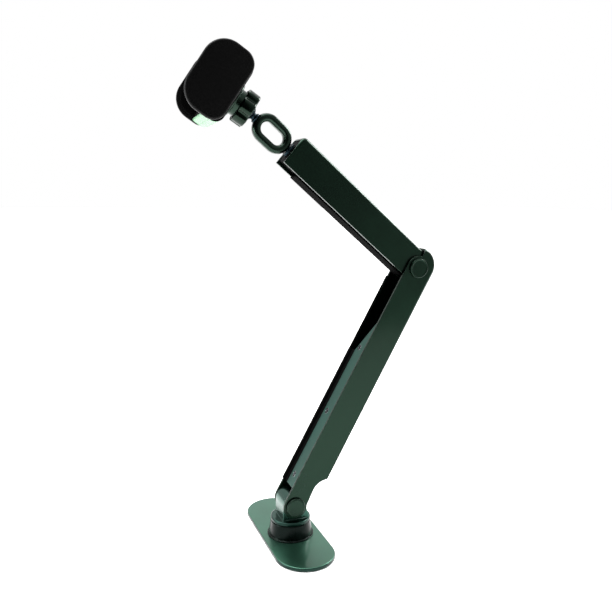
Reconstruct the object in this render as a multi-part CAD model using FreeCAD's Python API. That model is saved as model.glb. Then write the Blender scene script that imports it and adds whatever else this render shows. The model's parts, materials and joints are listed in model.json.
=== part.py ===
"""Phone holder on a two-part folding arm: base plate, swivel hub, channel arms, ring link and spring clamp.

Units are millimetres. The origin is on the hub's axis, at the underside of the base. +Z is up, the arm
folds in the XZ plane, and every arm pivot is parallel to Y. Each file in parts/ is one named piece.
"""
import FreeCAD, Part
import math
import os

Vector = FreeCAD.Vector
Rotation = FreeCAD.Rotation
Placement = FreeCAD.Placement

# ---------------------------------------------------------------- base and hub
plate_width = 44.0            # across X
plate_length = 114.0          # across Y, with full round ends
plate_offset = 4.0            # plate centre from the hub axis, towards +Y
plate_thickness = 2.4
plate_edge_round = 0.6
pad_thickness = 0.6
pad_inset = 1.0
hub_foot_radius = 16.6
hub_top_radius = 15.0
hub_height = 11.6             # foot to the drum's top face
hub_wall = 3.4
hub_lip_radius = 17.4
hub_lip_height = 0.9
hub_edge_round = 0.5
hub_boss_radius = 9.6         # boss round the journal bore, inside the drum
journal_radius = 6.0
turntable_radius = 15.0
turntable_thickness = 2.4
turntable_edge_round = 0.5
thrust_washer_thickness = 0.4
thrust_washer_radius = 13.2
retaining_washer_radius = 8.6
retaining_washer_thickness = 1.2
wave_washer_thickness = 0.8
wave_washer_radius = 7.9
swivel_bolt_radius = 2.5
swivel_head_radius = 4.6
swivel_head_height = 2.6
swivel_thread_length = 13.0
base_screw_circle = 12.4      # radius of the circle of base screws
base_screw_count = 3
base_screw_radius = 1.5
base_screw_head_radius = 2.9
base_screw_head_height = 1.4
base_screw_length = 8.0

# ---------------------------------------------------------------- pivots
pivot_clearance = 1.8         # turntable to the lower arm's round foot
pivot_bolt_radius = 3.0
bolt_head_radius = 5.6
bolt_head_height = 1.3
bolt_socket_radius = 1.75     # across the corners of the hexagon socket
bolt_socket_depth = 0.8
cap_radius = 7.2
cap_height = 2.0              # how far a pivot cap stands off the flange
cap_wall = 0.6
cap_edge_round = 0.5
pivot_washer_radius = 7.6
knuckle_radius = 8.8          # barrel of the hub's tongue
knuckle_foot_front = 8.8      # tongue's foot towards -X
knuckle_foot_back = 12.2      # tongue's foot towards +X
knuckle_shoulder_height = 4.6
knuckle_shoulder_step = 1.6    # shoulder, in from the foot
knuckle_foot_height = 1.2     # upright part of the foot above the turntable

# ---------------------------------------------------------------- lower arm
lower_length = 200.0          # pivot to pivot
lower_lean = 29.0             # degrees from vertical towards +X, at rest
arm_side_gap = 0.5            # between the arms at the elbow, each side
lower_wall = 1.6
lower_front = 9.1             # pivot line to the flanges' free edges
lower_back = 14.1             # pivot line to the web's outer face
lower_corner_round = 2.5
lower_inner_round = 0.8
neck_offset = 7.0             # flange's narrowest back offset, above the lower pivot
neck_station = 16.5
heel_run = 7.6                # heel's middle point from the neck, along the arm
heel_rise = 2.1               # and towards the back
web_start = 28.5              # where the web begins, measured from the lower pivot
hood_shift = 1.6              # centre of the rounded end past the elbow pivot
hood_lip = 1.2                # the hood's lip stands this far in front of the pivot line

# ---------------------------------------------------------------- cable cover in the lower arm
cover_start = 11.5
cover_setback = 48.0          # cover's end, short of the elbow pivot
cover_slant_length = 28.0     # over this length the free edge runs across to the near flange
cover_recess = 1.3            # below the flange edges
cover_thickness = 1.2
cover_free_edge = 4.5         # free edge, past the middle of the channel
cover_leg = 8.0
cover_gap = 0.05              # fit against the flange's inner face
cover_screw_first = 20.0
cover_screw_overrun = 3.0     # last screw, past the start of the slant
cover_screw_count = 3
cover_screw_radius = 1.25
cover_screw_head_radius = 2.3
cover_screw_head_height = 1.0
seal_thickness = 1.4
seal_bar_width = 6.4
seal_bar_thickness = 2.0
seal_bar_inset = 2.0          # bar's start, in from the cover's end
seal_bar_overrun = 5.0        # bar's end, past the last screw
seal_step_gap = 0.3           # bar's step to the seal's end
seal_lip_thickness = 0.8
seal_flange_width = 3.0
seal_edge_gap = 0.2           # seal to the cover's free edge
seal_roll_foot = 1.2          # the lip's rolled edge, from the far flange
seal_roll_top = 0.6
seal_trim_setback = 14.0      # trim's end, short of the elbow pivot

# ---------------------------------------------------------------- upper arm
upper_length = 129.6          # elbow pivot to the square-cut free end
upper_rise = 40.3             # degrees above horizontal, towards -X, at rest
upper_width = 17.8
upper_wall = 1.5
upper_top = 12.7              # pivot line to the web's outer face
upper_bottom = 10.7           # pivot line to the flanges' free edges
upper_corner_round = 2.4
upper_inner_round = 0.8
upper_web_start = 4.0
upper_end_round = 3.4
trim_start = 4.0
trim_reach = 11.0
trim_grip_height = 3.0        # the lip's leg inside the flange
trim_grip_thickness = 1.0
trim_end_gap = 1.0            # lip to the end plug
barrel_wall = 2.2             # spacer tube on the elbow bolt
plug_depth = 13.0
plug_recess = 0.6
plug_bottom = 8.4
plug_screw_radius = 1.5
plug_screw_head_radius = 2.7
plug_screw_head_height = 1.3
plug_screw_length = 7.0
plug_screw_spacing = 7.4

# ---------------------------------------------------------------- ring link and ball stud
stud_radius = 3.0
stud_collar_radius = 5.2
stud_collar_thickness = 1.6
stud_washer_thickness = 0.6
stud_nut_flats = 10.0
stud_nut_thickness = 4.0
stud_spring_washer_thickness = 1.4
stud_tenon_radius = 2.4
stud_tenon_length = 3.6
stud_end_length = 1.0         # thread past the nut
ring_length = 30.4
ring_width = 21.0
ring_wall = 6.0
ring_depth = 7.4
ring_edge_round = 2.7
ball_radius = 6.5
ball_neck_radius = 2.6
ball_neck_length = 8.3        # ring to the ball's centre

# ---------------------------------------------------------------- head frame at rest
head_rise = 33.9              # nut axis above horizontal, towards -X
head_pan = -3.8
head_roll = -4.4

# ---------------------------------------------------------------- ball socket and lock nut
liner_clearance = 0.2         # between each pair of spherical faces
liner_thickness = 1.0
rear_liner_from = 68.0        # polar angles from the nut axis, degrees
rear_liner_to = 113.0
front_liner_to = 22.0
nut_rear = -3.6               # nut faces along the nut axis, from the ball centre
nut_front = 5.6
nut_wall = 3.0                # over the cup's thread
nut_lobes = 6
nut_groove_radius = 3.2
nut_groove_offset = 1.5       # groove centres, outside the nut's radius
nut_edge_round = 0.7
nut_opening_step = 0.2        # the opening is this much less than the ball's radius
nut_opening_flare = 0.5
cup_thread_wall = 1.5         # over the socket
thread_clearance = 0.08
thread_relief = 0.3           # nut's thread, past the cup's rear edge
cup_rear = -0.4
flange_back = 8.9
flange_front = 11.6
flange_edge_round = 0.6
cup_screw_inset = 3.2         # screw circle, in from the flange's rim
cup_screw_count = 3
cup_screw_radius = 1.25
cup_screw_head_radius = 2.3
cup_screw_head_height = 1.4
cup_screw_end_gap = 0.4       # screw tip to the flange's rear face
screw_head_clearance = 0.1

# ---------------------------------------------------------------- phone clamp
housing_length = 59.0         # along the jaw travel
housing_height = 41.0
housing_drop = 3.0            # the underside lies this much lower than the top lies high
housing_depth = 12.8
housing_back_depth = 7.0
housing_wall = 1.8
housing_back_round = 6.4       # along the housing's back edges
housing_front_round = 2.0
face_pad_corner = 3.5
face_pad_thickness = 1.2
face_pad_inset = 5.0
jaw_gap = 0.5                 # housing end to the sliding jaw, closed
jaw_thickness = 3.2
jaw_height = 48.4
jaw_depth = 31.2
jaw_back = 12.2               # jaws' back edge from the ball centre
jaw_front_round = 15.0
jaw_back_round = 9.5
jaw_edge_round = 1.4
jaw_pad_thickness = 1.4
jaw_pad_inset = 3.0
jaw_pad_gap = 0.6             # jaw pad to the face pad
jaw_pad_ribs = 4
jaw_rib_height = 0.5
jaw_rib_width = 1.6
jaw_rib_pitch = 3.2
rod_radius = 2.0
rod_clearance = 0.06
rod_spacing = 27.0
rod_end_room = 7.0            # housing length that the closed rods leave free
rod_bore_run_out = 1.0
rod_seat = 1.6                # rod length held in the sliding jaw
spring_wire_radius = 0.3
spring_coil_radius = 2.0
spring_pitch = 2.4
spring_turns = 17
spring_spacing = 12.0
spring_room = 0.6             # round the springs in their chamber
spring_end_wall = 3.96
jaw_screw_radius = 1.25
jaw_screw_head_radius = 2.3
jaw_screw_length = 9.0
jaw_screw_spacing = 18.0
shell_screw_radius = 1.1
shell_screw_head_radius = 2.0
shell_screw_length = 9.0
shell_screw_reach = 0.36      # share of the housing's length, from its middle
shell_screw_height = 0.0
shell_screw_floor = 1.2       # plastic left under the screw's bore
screw_socket_share = 0.45     # hexagon socket corner radius as a share of the head radius
screw_socket_depth = 0.6
fit_clearance = 0.05          # radial, for a shaft that turns in a bore
cut_margin = 30.0             # how far cutting tools run past what they cut

# ---------------------------------------------------------------- worked-out sizes
plate_top = pad_thickness + plate_thickness
hub_top = plate_top + hub_height
turntable_bottom = hub_top + thrust_washer_thickness
turntable_top = turntable_bottom + turntable_thickness
foot_round_radius = lower_front
hood_flange_radius = lower_front
pivot_height = turntable_top + foot_round_radius + pivot_clearance
lower_width = upper_width + 2 * (arm_side_gap + lower_wall)
lower_inner_half = lower_width / 2 - lower_wall
upper_half = upper_width / 2
cover_face = -(lower_front - cover_recess)
cover_back = cover_face + cover_thickness
cover_end = lower_length - cover_setback
cover_slant_start = cover_end - cover_slant_length
cover_screw_last = cover_slant_start + cover_screw_overrun
cover_screw_pitch = (cover_screw_last - cover_screw_first) / (cover_screw_count - 1)
seal_trim_end = lower_length - seal_trim_setback
ring_start = upper_length + stud_collar_thickness
ring_end = ring_start + ring_length
ball_x = ring_end + ball_neck_length
liner_inner = ball_radius + liner_clearance
liner_outer = liner_inner + liner_thickness
socket_radius = liner_outer + liner_clearance
cup_thread_radius = socket_radius + cup_thread_wall
nut_radius = cup_thread_radius + nut_wall
nut_groove_circle = nut_radius + nut_groove_offset
nut_opening_radius = ball_radius - nut_opening_step
flange_radius = nut_radius
cup_screw_circle = flange_radius - cup_screw_inset
housing_front = flange_front + housing_depth
housing_split = flange_front + housing_back_depth
jaw_inner = housing_length / 2 + jaw_gap
rod_engagement = housing_length - rod_end_room


# ---------------------------------------------------------------- frames
def rotationFromAxes(along, across, normal):
    return Rotation(along, across, normal, "XYZ")


nearSide = Vector(0, -1, 0)
lean = math.radians(lower_lean)
rise = math.radians(upper_rise)
headRise = math.radians(head_rise)
lowerAlong = Vector(math.sin(lean), 0, math.cos(lean))
lowerBack = Vector(math.cos(lean), 0, -math.sin(lean))
upperAlong = Vector(-math.cos(rise), 0, math.sin(rise))
upperTop = Vector(math.sin(rise), 0, math.cos(rise))
headAlong = Vector(-math.cos(headRise), 0, math.sin(headRise))
headTop = Vector(math.sin(headRise), 0, math.cos(headRise))
lowerPivot = Vector(0, 0, pivot_height)
elbowPivot = lowerPivot + lowerAlong * lower_length
ballCentre = elbowPivot + upperAlong * ball_x

# in each frame X runs along the chain, Y points to the near side, and Z to the web or the head's top
lowerFrame = Placement(lowerPivot, rotationFromAxes(lowerAlong, nearSide, lowerBack))
elbowFrame = Placement(elbowPivot, rotationFromAxes(lowerAlong, nearSide, lowerBack))
upperFrame = Placement(elbowPivot, rotationFromAxes(upperAlong, nearSide, upperTop))
headRotation = rotationFromAxes(headAlong, nearSide, headTop)
headRotation = headRotation.multiply(Rotation(Vector(0, 0, 1), head_pan))
headRotation = headRotation.multiply(Rotation(Vector(1, 0, 0), head_roll))
headFrame = Placement(ballCentre, headRotation)
worldFrame = Placement()


# ---------------------------------------------------------------- shape helpers
def cylinder(radius, start, end):
    """Solid cylinder between two points."""
    axis = end - start
    return Part.makeCylinder(radius, axis.Length, start, axis)


def tube(outer, inner, start, end):
    return cylinder(outer, start, end).cut(cylinder(inner, start, end))


def box(low, high):
    size = Vector(*high) - Vector(*low)
    return Part.makeBox(size.x, size.y, size.z, Vector(*low))


def hexPrism(radius, start, end):
    """Hexagonal prism; the radius goes to its corners."""
    axis = end - start
    hexagon = [Vector(radius * math.cos(math.radians(60 * i)), radius * math.sin(math.radians(60 * i)), 0)
               for i in range(7)]
    prism = Part.Face(Part.makePolygon(hexagon)).extrude(Vector(0, 0, axis.Length))
    prism.Placement = Placement(start, Rotation(Vector(0, 0, 1), axis))
    return prism


def fuseAll(shapes):
    body = shapes[0]
    for shape in shapes[1:]:
        body = body.fuse(shape)
    return body.removeSplitter()


def arcThrough(a, middle, b):
    return Part.Arc(a, middle, b).toShape()


def line(a, b):
    return Part.LineSegment(a, b).toShape()


def extrudeAcross(edges, half):
    """Extrude a closed outline in the XZ plane symmetrically along Y."""
    face = Part.Face(Part.Wire(edges))
    solid = face.extrude(Vector(0, 2 * half, 0))
    solid.translate(Vector(0, -half, 0))
    return solid


def edgesWhere(solid, test):
    """Edges whose middle point passes the test."""
    found = []
    for edge in solid.Edges:
        middle = edge.valueAt((edge.FirstParameter + edge.LastParameter) / 2)
        if test(middle, edge):
            found.append(edge)
    return found


def stadium(width, length, height, base, centre_y):
    """Flat stadium with its long axis along Y and full round ends."""
    radius = width / 2
    straight = length / 2 - radius
    plate = box((-radius, centre_y - straight, base), (radius, centre_y + straight, base + height))
    for end in (-straight, straight):
        middle = Vector(0, centre_y + end, base)
        plate = plate.fuse(cylinder(radius, middle, middle + Vector(0, 0, height)))
    return plate.removeSplitter()


def roundedSlab(x_from, x_to, half_y, half_z, corner):
    """Slab normal to X whose YZ outline has rounded corners."""
    slab = box((x_from, -half_y, -half_z), (x_to, half_y, half_z))
    return slab.makeFillet(corner, edgesWhere(slab, lambda p, e: abs(abs(p.y) - half_y) < 1e-6
                                              and abs(abs(p.z) - half_z) < 1e-6))


def countersunkScrew(head_at, direction, radius, head_radius, head_height, length):
    """Countersunk screw with a hexagon socket; head_at is the middle of its flat face."""
    way = Vector(direction).normalize()
    head = Part.makeCone(head_radius, radius, head_height, head_at, way)
    shank = cylinder(radius, head_at + way * head_height, head_at + way * length)
    socket = hexPrism(head_radius * screw_socket_share, head_at, head_at + way * screw_socket_depth)
    return head.fuse(shank).cut(socket)


def countersunkHole(head_at, direction, radius, head_radius, head_height, length):
    way = Vector(direction).normalize()
    return Part.makeCone(head_radius, radius, head_height, head_at, way).fuse(
        cylinder(radius, head_at + way * head_height, head_at + way * length))


def panScrew(head_at, direction, radius, head_radius, head_height, length):
    """Screw with a cylindrical head; head_at is where the head seats, and the shank runs along direction."""
    way = Vector(direction).normalize()
    head = cylinder(head_radius, head_at - way * head_height, head_at)
    socket = hexPrism(head_radius * screw_socket_share, head_at - way * head_height,
                      head_at - way * (head_height - screw_socket_depth))
    return head.fuse(cylinder(radius, head_at, head_at + way * length)).cut(socket)


def onCircle(radius, count, axis_point, start_angle=0.0):
    """Points on a circle round Z through axis_point."""
    return [axis_point + Vector(radius * math.cos(math.radians(start_angle + 360.0 * i / count)),
                                radius * math.sin(math.radians(start_angle + 360.0 * i / count)), 0)
            for i in range(count)]


def save(name, shape, frame=worldFrame):
    """Write one piece, moved from its own frame to the part's frame."""
    placed = shape.copy()
    placed.Placement = frame.multiply(placed.Placement)
    if not placed.isValid():
        print("not valid:", name)
    placed.exportStep("parts/%s.step" % name)
    print("%-22s solids %d  volume %.1f mm3" % (name, len(placed.Solids), placed.Volume))


# ---------------------------------------------------------------- base and hub pieces
def baseScrewPoints(height):
    return onCircle(base_screw_circle, base_screw_count, Vector(0, 0, height), 90.0)


def makeBasePlate():
    plate = stadium(plate_width, plate_length, plate_thickness, pad_thickness, plate_offset)
    plate = plate.makeFillet(plate_edge_round, edgesWhere(plate, lambda p, e: abs(p.z - plate_top) < 1e-6))
    for point in baseScrewPoints(pad_thickness):
        plate = plate.cut(countersunkHole(point, Vector(0, 0, 1), base_screw_radius, base_screw_head_radius,
                                          base_screw_head_height, plate_thickness + 1))
    return plate


def makeBasePad():
    return stadium(plate_width - 2 * pad_inset, plate_length - 2 * pad_inset, pad_thickness, 0, plate_offset)


def makeBaseScrews():
    return Part.makeCompound([
        countersunkScrew(point, Vector(0, 0, 1), base_screw_radius, base_screw_head_radius,
                         base_screw_head_height, base_screw_length)
        for point in baseScrewPoints(pad_thickness)])


def makeHubHousing():
    """Conical drum with a lip at its foot, a bored boss, and a chamber below for the retaining bolt."""
    drum = Part.makeCone(hub_foot_radius, hub_top_radius, hub_height, Vector(0, 0, plate_top))
    drum = drum.makeFillet(hub_edge_round, edgesWhere(drum, lambda p, e: abs(p.z - hub_top) < 1e-6))
    lip = cylinder(hub_lip_radius, Vector(0, 0, plate_top), Vector(0, 0, plate_top + hub_lip_height))
    drum = drum.fuse(lip)
    bore = cylinder(journal_radius + fit_clearance, Vector(0, 0, plate_top), Vector(0, 0, hub_top))
    chamber = cylinder(hub_boss_radius, Vector(0, 0, plate_top), Vector(0, 0, hub_top - hub_wall))
    drum = drum.cut(bore).cut(chamber)
    for point in baseScrewPoints(plate_top):
        depth = base_screw_length - plate_thickness
        drum = drum.cut(cylinder(base_screw_radius, point, point + Vector(0, 0, depth)))
    return drum.removeSplitter()


def makeThrustWasher():
    return tube(thrust_washer_radius, journal_radius + fit_clearance, Vector(0, 0, hub_top),
                Vector(0, 0, turntable_bottom))


def makeSwivelKnuckle():
    """Turntable, tongue and journal in one casting; the tongue carries the lower arm."""
    turntable = cylinder(turntable_radius, Vector(0, 0, turntable_bottom), Vector(0, 0, turntable_top))
    turntable = turntable.makeFillet(turntable_edge_round, edgesWhere(
        turntable, lambda p, e: abs(p.z - turntable_top) < 1e-6))
    journal_foot = hub_top - hub_wall
    journal = cylinder(journal_radius, Vector(0, 0, journal_foot), Vector(0, 0, turntable_bottom))
    floor = turntable_bottom + 0.5 * turntable_thickness
    shoulder = Vector(knuckle_foot_back - knuckle_shoulder_step, 0, turntable_top + knuckle_shoulder_height)
    foot = Vector(knuckle_foot_back, 0, turntable_top + knuckle_foot_height)
    outline = [
        line(Vector(-knuckle_foot_front, 0, floor), Vector(knuckle_foot_back, 0, floor)),
        line(Vector(knuckle_foot_back, 0, floor), foot),
        line(foot, shoulder),
        line(shoulder, Vector(knuckle_radius, 0, pivot_height)),
        arcThrough(Vector(knuckle_radius, 0, pivot_height), Vector(0, 0, pivot_height + knuckle_radius),
                   Vector(-knuckle_radius, 0, pivot_height)),
        line(Vector(-knuckle_radius, 0, pivot_height), Vector(-knuckle_foot_front, 0, floor)),
    ]
    tongue = extrudeAcross(outline, upper_half)
    limit = cylinder(turntable_radius - turntable_edge_round, Vector(0, 0, 0), Vector(0, 0, 2 * pivot_height))
    knuckle = fuseAll([turntable, journal, tongue.common(limit)])
    pivot = cylinder(pivot_bolt_radius + fit_clearance, Vector(0, -cut_margin, pivot_height),
                     Vector(0, cut_margin, pivot_height))
    thread_top = journal_foot + swivel_thread_length - retaining_washer_thickness - wave_washer_thickness
    thread = cylinder(swivel_bolt_radius, Vector(0, 0, journal_foot), Vector(0, 0, thread_top))
    return knuckle.cut(pivot).cut(thread)


def makeWaveWasher():
    top = hub_top - hub_wall
    return tube(wave_washer_radius, swivel_bolt_radius + fit_clearance,
                Vector(0, 0, top - wave_washer_thickness), Vector(0, 0, top))


def makeRetainingWasher():
    top = hub_top - hub_wall - wave_washer_thickness
    return tube(retaining_washer_radius, swivel_bolt_radius + fit_clearance,
                Vector(0, 0, top - retaining_washer_thickness), Vector(0, 0, top))


def makeSwivelBolt():
    seat = hub_top - hub_wall - wave_washer_thickness - retaining_washer_thickness
    return panScrew(Vector(0, 0, seat), Vector(0, 0, 1), swivel_bolt_radius, swivel_head_radius,
                    swivel_head_height, swivel_thread_length)


# ---------------------------------------------------------------- pivot hardware, in a frame at the pivot
def makePivotBolt():
    """Shoulder bolt through both flanges with a low head on the near side."""
    half = lower_width / 2
    bolt = cylinder(pivot_bolt_radius, Vector(0, -half - bolt_head_height, 0), Vector(0, half, 0))
    head = cylinder(bolt_head_radius, Vector(0, half, 0), Vector(0, half + bolt_head_height, 0))
    socket = hexPrism(bolt_socket_radius, Vector(0, half + bolt_head_height - bolt_socket_depth, 0),
                      Vector(0, half + bolt_head_height, 0))
    return bolt.fuse(head).cut(socket)


def makePivotNut():
    half = lower_width / 2
    nut = hexPrism(bolt_head_radius, Vector(0, -half - bolt_head_height, 0), Vector(0, -half, 0))
    return nut.cut(cylinder(pivot_bolt_radius, Vector(0, -half - bolt_head_height, 0), Vector(0, -half, 0)))


def makePivotCap(side):
    """Shallow round cap over the bolt head (side 1) or the nut (side -1)."""
    seat = side * lower_width / 2
    crown = seat + side * cap_height
    cap = cylinder(cap_radius, Vector(0, seat, 0), Vector(0, crown, 0))
    cap = cap.makeFillet(cap_edge_round, edgesWhere(cap, lambda p, e: abs(p.y - crown) < 1e-6))
    hollow = cylinder(cap_radius - cap_wall, Vector(0, seat, 0), Vector(0, crown - side * cap_wall, 0))
    return cap.cut(hollow)


def makePivotWashers():
    """One friction washer on each side of the piece between the flanges."""
    washers = []
    for side in (-1, 1):
        inner = side * (upper_half + fit_clearance)
        outer = side * lower_inner_half
        washers.append(tube(pivot_washer_radius, pivot_bolt_radius + fit_clearance,
                            Vector(0, inner, 0), Vector(0, outer, 0)))
    return Part.makeCompound(washers)


# ---------------------------------------------------------------- lower arm pieces, in the lower frame
def makeLowerArm():
    """U-channel with its web at the back, a concave heel at the foot and a hood over the elbow."""
    hood_x = lower_length + hood_shift
    lip_out = hood_x + math.sqrt(lower_back ** 2 - hood_lip ** 2)
    lip_in = lower_length + math.sqrt(hood_flange_radius ** 2 - hood_lip ** 2)
    turn = math.radians(60)
    ankle = Vector(foot_round_radius * math.cos(turn), 0, foot_round_radius * math.sin(turn))
    slope = math.radians(-45)
    heel_middle = Vector(neck_station + heel_run, 0, neck_offset + heel_rise)
    edges = [
        line(Vector(0, 0, -lower_front), Vector(lower_length, 0, -lower_front)),
        arcThrough(Vector(lower_length, 0, -lower_front),
                   Vector(lower_length + hood_flange_radius * math.cos(slope), 0,
                          hood_flange_radius * math.sin(slope)),
                   Vector(lip_in, 0, -hood_lip)),
        line(Vector(lip_in, 0, -hood_lip), Vector(lip_out, 0, -hood_lip)),
        arcThrough(Vector(lip_out, 0, -hood_lip),
                   Vector(hood_x + lower_back * math.cos(-slope), 0, lower_back * math.sin(-slope)),
                   Vector(hood_x, 0, lower_back)),
        line(Vector(hood_x, 0, lower_back), Vector(web_start, 0, lower_back)),
        arcThrough(Vector(web_start, 0, lower_back), heel_middle, Vector(neck_station, 0, neck_offset)),
        line(Vector(neck_station, 0, neck_offset), ankle),
        arcThrough(ankle, Vector(-foot_round_radius, 0, 0), Vector(0, 0, -foot_round_radius)),
    ]
    solid = extrudeAcross(edges, lower_width / 2)
    solid = solid.makeFillet(lower_corner_round, edgesWhere(
        solid, lambda p, e: abs(abs(p.y) - lower_width / 2) < 1e-6 and
        (abs(p.z - lower_back) < 1e-6 or (p.x > hood_x and p.z > 0
                                          and abs(math.hypot(p.x - hood_x, p.z) - lower_back) < 1e-6))))
    inner_back = lower_back - lower_wall
    hollow = box((-cut_margin, -lower_inner_half, -cut_margin), (hood_x, lower_inner_half, inner_back))
    hollow = hollow.fuse(cylinder(inner_back, Vector(hood_x, -lower_inner_half, 0),
                                  Vector(hood_x, lower_inner_half, 0))).removeSplitter()
    hollow = hollow.makeFillet(lower_inner_round, edgesWhere(
        hollow, lambda p, e: abs(abs(p.y) - lower_inner_half) < 1e-6 and
        (abs(p.z - inner_back) < 1e-6 or (p.x > hood_x and p.z > 0.5))))
    solid = solid.cut(hollow)
    for station in (0, lower_length):
        solid = solid.cut(cylinder(pivot_bolt_radius, Vector(station, -cut_margin, 0),
                                   Vector(station, cut_margin, 0)))
    return solid


def coverScrewStations():
    return [cover_screw_first + i * cover_screw_pitch for i in range(cover_screw_count)]


def makeCoverStrip():
    """Ledge just below the flange edges, bent down along the near flange."""
    near = lower_inner_half - cover_gap
    outline = [Vector(cover_start, near, 0), Vector(cover_start, -cover_free_edge, 0),
               Vector(cover_slant_start, -cover_free_edge, 0), Vector(cover_end, near - cover_thickness, 0),
               Vector(cover_end, near, 0), Vector(cover_start, near, 0)]
    ledge = Part.Face(Part.makePolygon(outline)).extrude(Vector(0, 0, cover_thickness))
    ledge.translate(Vector(0, 0, cover_face))
    leg = box((web_start, near - cover_thickness, cover_face), (cover_end, near, cover_face + cover_leg))
    strip = ledge.fuse(leg).removeSplitter()
    for station in coverScrewStations():
        strip = strip.cut(countersunkHole(Vector(station, 0, cover_face), Vector(0, 0, 1),
                                          cover_screw_radius, cover_screw_head_radius,
                                          cover_screw_head_height, 2 * cover_thickness))
    return strip


def makeCableSeal():
    """Rubber lip from under the ledge to the far flange, hooked over that flange's free edge."""
    far = -lower_inner_half
    outer = -lower_width / 2
    edge = -lower_front
    root = cover_back + seal_thickness
    step = -cover_free_edge - seal_edge_gap
    section = [Vector(0, seal_flange_width, cover_back), Vector(0, step, cover_back),
               Vector(0, step, cover_face), Vector(0, far + seal_roll_foot, cover_face),
               Vector(0, far + seal_roll_top, edge - seal_lip_thickness),
               Vector(0, outer, edge - seal_lip_thickness),
               Vector(0, outer, edge), Vector(0, far, edge), Vector(0, far, root),
               Vector(0, seal_flange_width, root), Vector(0, seal_flange_width, cover_back)]
    seal = Part.Face(Part.makePolygon(section)).extrude(Vector(cover_slant_start - cover_start, 0, 0))
    seal.translate(Vector(cover_start, 0, 0))
    trim = box((cover_slant_start, outer, edge - seal_lip_thickness), (seal_trim_end, far, edge))
    seal = seal.fuse(trim).removeSplitter()
    for station in coverScrewStations():
        if station < cover_slant_start:
            seal = seal.cut(cylinder(cover_screw_radius, Vector(station, 0, cover_back - 1),
                                     Vector(station, 0, root + 1)))
    return seal


def makeSealBar():
    """Threaded bar behind the seal; its last bit bears on the ledge where the seal has ended."""
    back = cover_back + seal_thickness
    half = seal_bar_width / 2
    end = cover_screw_last + seal_bar_overrun
    bar = box((cover_start + seal_bar_inset, -half, back), (end, half, back + seal_bar_thickness))
    step = box((cover_slant_start + seal_step_gap, -half, cover_back), (end, half, back))
    bar = bar.fuse(step).removeSplitter()
    for station in coverScrewStations():
        bar = bar.cut(cylinder(cover_screw_radius, Vector(station, 0, cover_back - 1),
                               Vector(station, 0, back + seal_bar_thickness + 1)))
    return bar


def makeCoverScrews():
    length = cover_thickness + seal_thickness + seal_bar_thickness
    return Part.makeCompound([
        countersunkScrew(Vector(station, 0, cover_face), Vector(0, 0, 1), cover_screw_radius,
                         cover_screw_head_radius, cover_screw_head_height, length)
        for station in coverScrewStations()])


# ---------------------------------------------------------------- upper arm pieces, in the upper frame
def makeUpperArm():
    """Inverted U-channel that turns between the lower arm's flanges; cut square at its free end."""
    edges = [
        line(Vector(0, 0, -upper_bottom), Vector(upper_length, 0, -upper_bottom)),
        line(Vector(upper_length, 0, -upper_bottom), Vector(upper_length, 0, upper_top - upper_end_round)),
        arcThrough(Vector(upper_length, 0, upper_top - upper_end_round),
                   Vector(upper_length - upper_end_round * (1 - math.cos(math.radians(45))), 0,
                          upper_top - upper_end_round * (1 - math.sin(math.radians(45)))),
                   Vector(upper_length - upper_end_round, 0, upper_top)),
        line(Vector(upper_length - upper_end_round, 0, upper_top), Vector(upper_web_start, 0, upper_top)),
        line(Vector(upper_web_start, 0, upper_top), Vector(0, 0, upper_bottom)),
        arcThrough(Vector(0, 0, upper_bottom), Vector(-upper_bottom, 0, 0), Vector(0, 0, -upper_bottom)),
    ]
    solid = extrudeAcross(edges, upper_half)
    solid = solid.makeFillet(upper_corner_round, edgesWhere(
        solid, lambda p, e: abs(abs(p.y) - upper_half) < 1e-6 and abs(p.z - upper_top) < 1e-6))
    inner = upper_half - upper_wall
    ceiling = upper_top - upper_wall
    hollow = box((-cut_margin, -inner, -cut_margin), (upper_length + cut_margin, inner, ceiling))
    hollow = hollow.makeFillet(upper_inner_round, edgesWhere(
        hollow, lambda p, e: abs(abs(p.y) - inner) < 1e-6 and abs(p.z - ceiling) < 1e-6))
    solid = solid.cut(hollow)
    solid = solid.cut(cylinder(pivot_bolt_radius + fit_clearance, Vector(0, -cut_margin, 0),
                               Vector(0, cut_margin, 0)))
    for point in plugScrewPoints():
        solid = solid.cut(countersunkHole(point, Vector(0, 0, -1), plug_screw_radius, plug_screw_head_radius,
                                          plug_screw_head_height, 2 * upper_wall))
    return solid


def plugScrewPoints():
    station = upper_length - plug_recess - plug_depth / 2
    return [Vector(station, side * plug_screw_spacing / 2, upper_top) for side in (-1, 1)]


def makeElbowBarrel():
    """Spacer tube on the elbow bolt that keeps the upper arm's flanges apart."""
    inner = upper_half - upper_wall
    return tube(pivot_bolt_radius + barrel_wall, pivot_bolt_radius + fit_clearance, Vector(0, -inner, 0),
                Vector(0, inner, 0))


def makeUpperCableLip():
    """Rubber lip hooked over the far flange's free edge; it keeps a cable in the channel."""
    outer = -upper_half
    inner = outer + upper_wall
    edge = -upper_bottom
    lip = edge - seal_lip_thickness
    leg = inner + trim_grip_thickness
    top = edge + trim_grip_height
    section = [Vector(0, outer, edge), Vector(0, inner, edge), Vector(0, inner, top), Vector(0, leg, top),
               Vector(0, leg, edge + seal_lip_thickness),
               Vector(0, outer + trim_reach, edge + seal_lip_thickness), Vector(0, outer + trim_reach, edge),
               Vector(0, leg, lip), Vector(0, outer, lip), Vector(0, outer, edge)]
    length = upper_length - plug_recess - plug_depth - trim_end_gap - trim_start
    trim = Part.Face(Part.makePolygon(section)).extrude(Vector(length, 0, 0))
    trim.translate(Vector(trim_start, 0, 0))
    return trim


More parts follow.
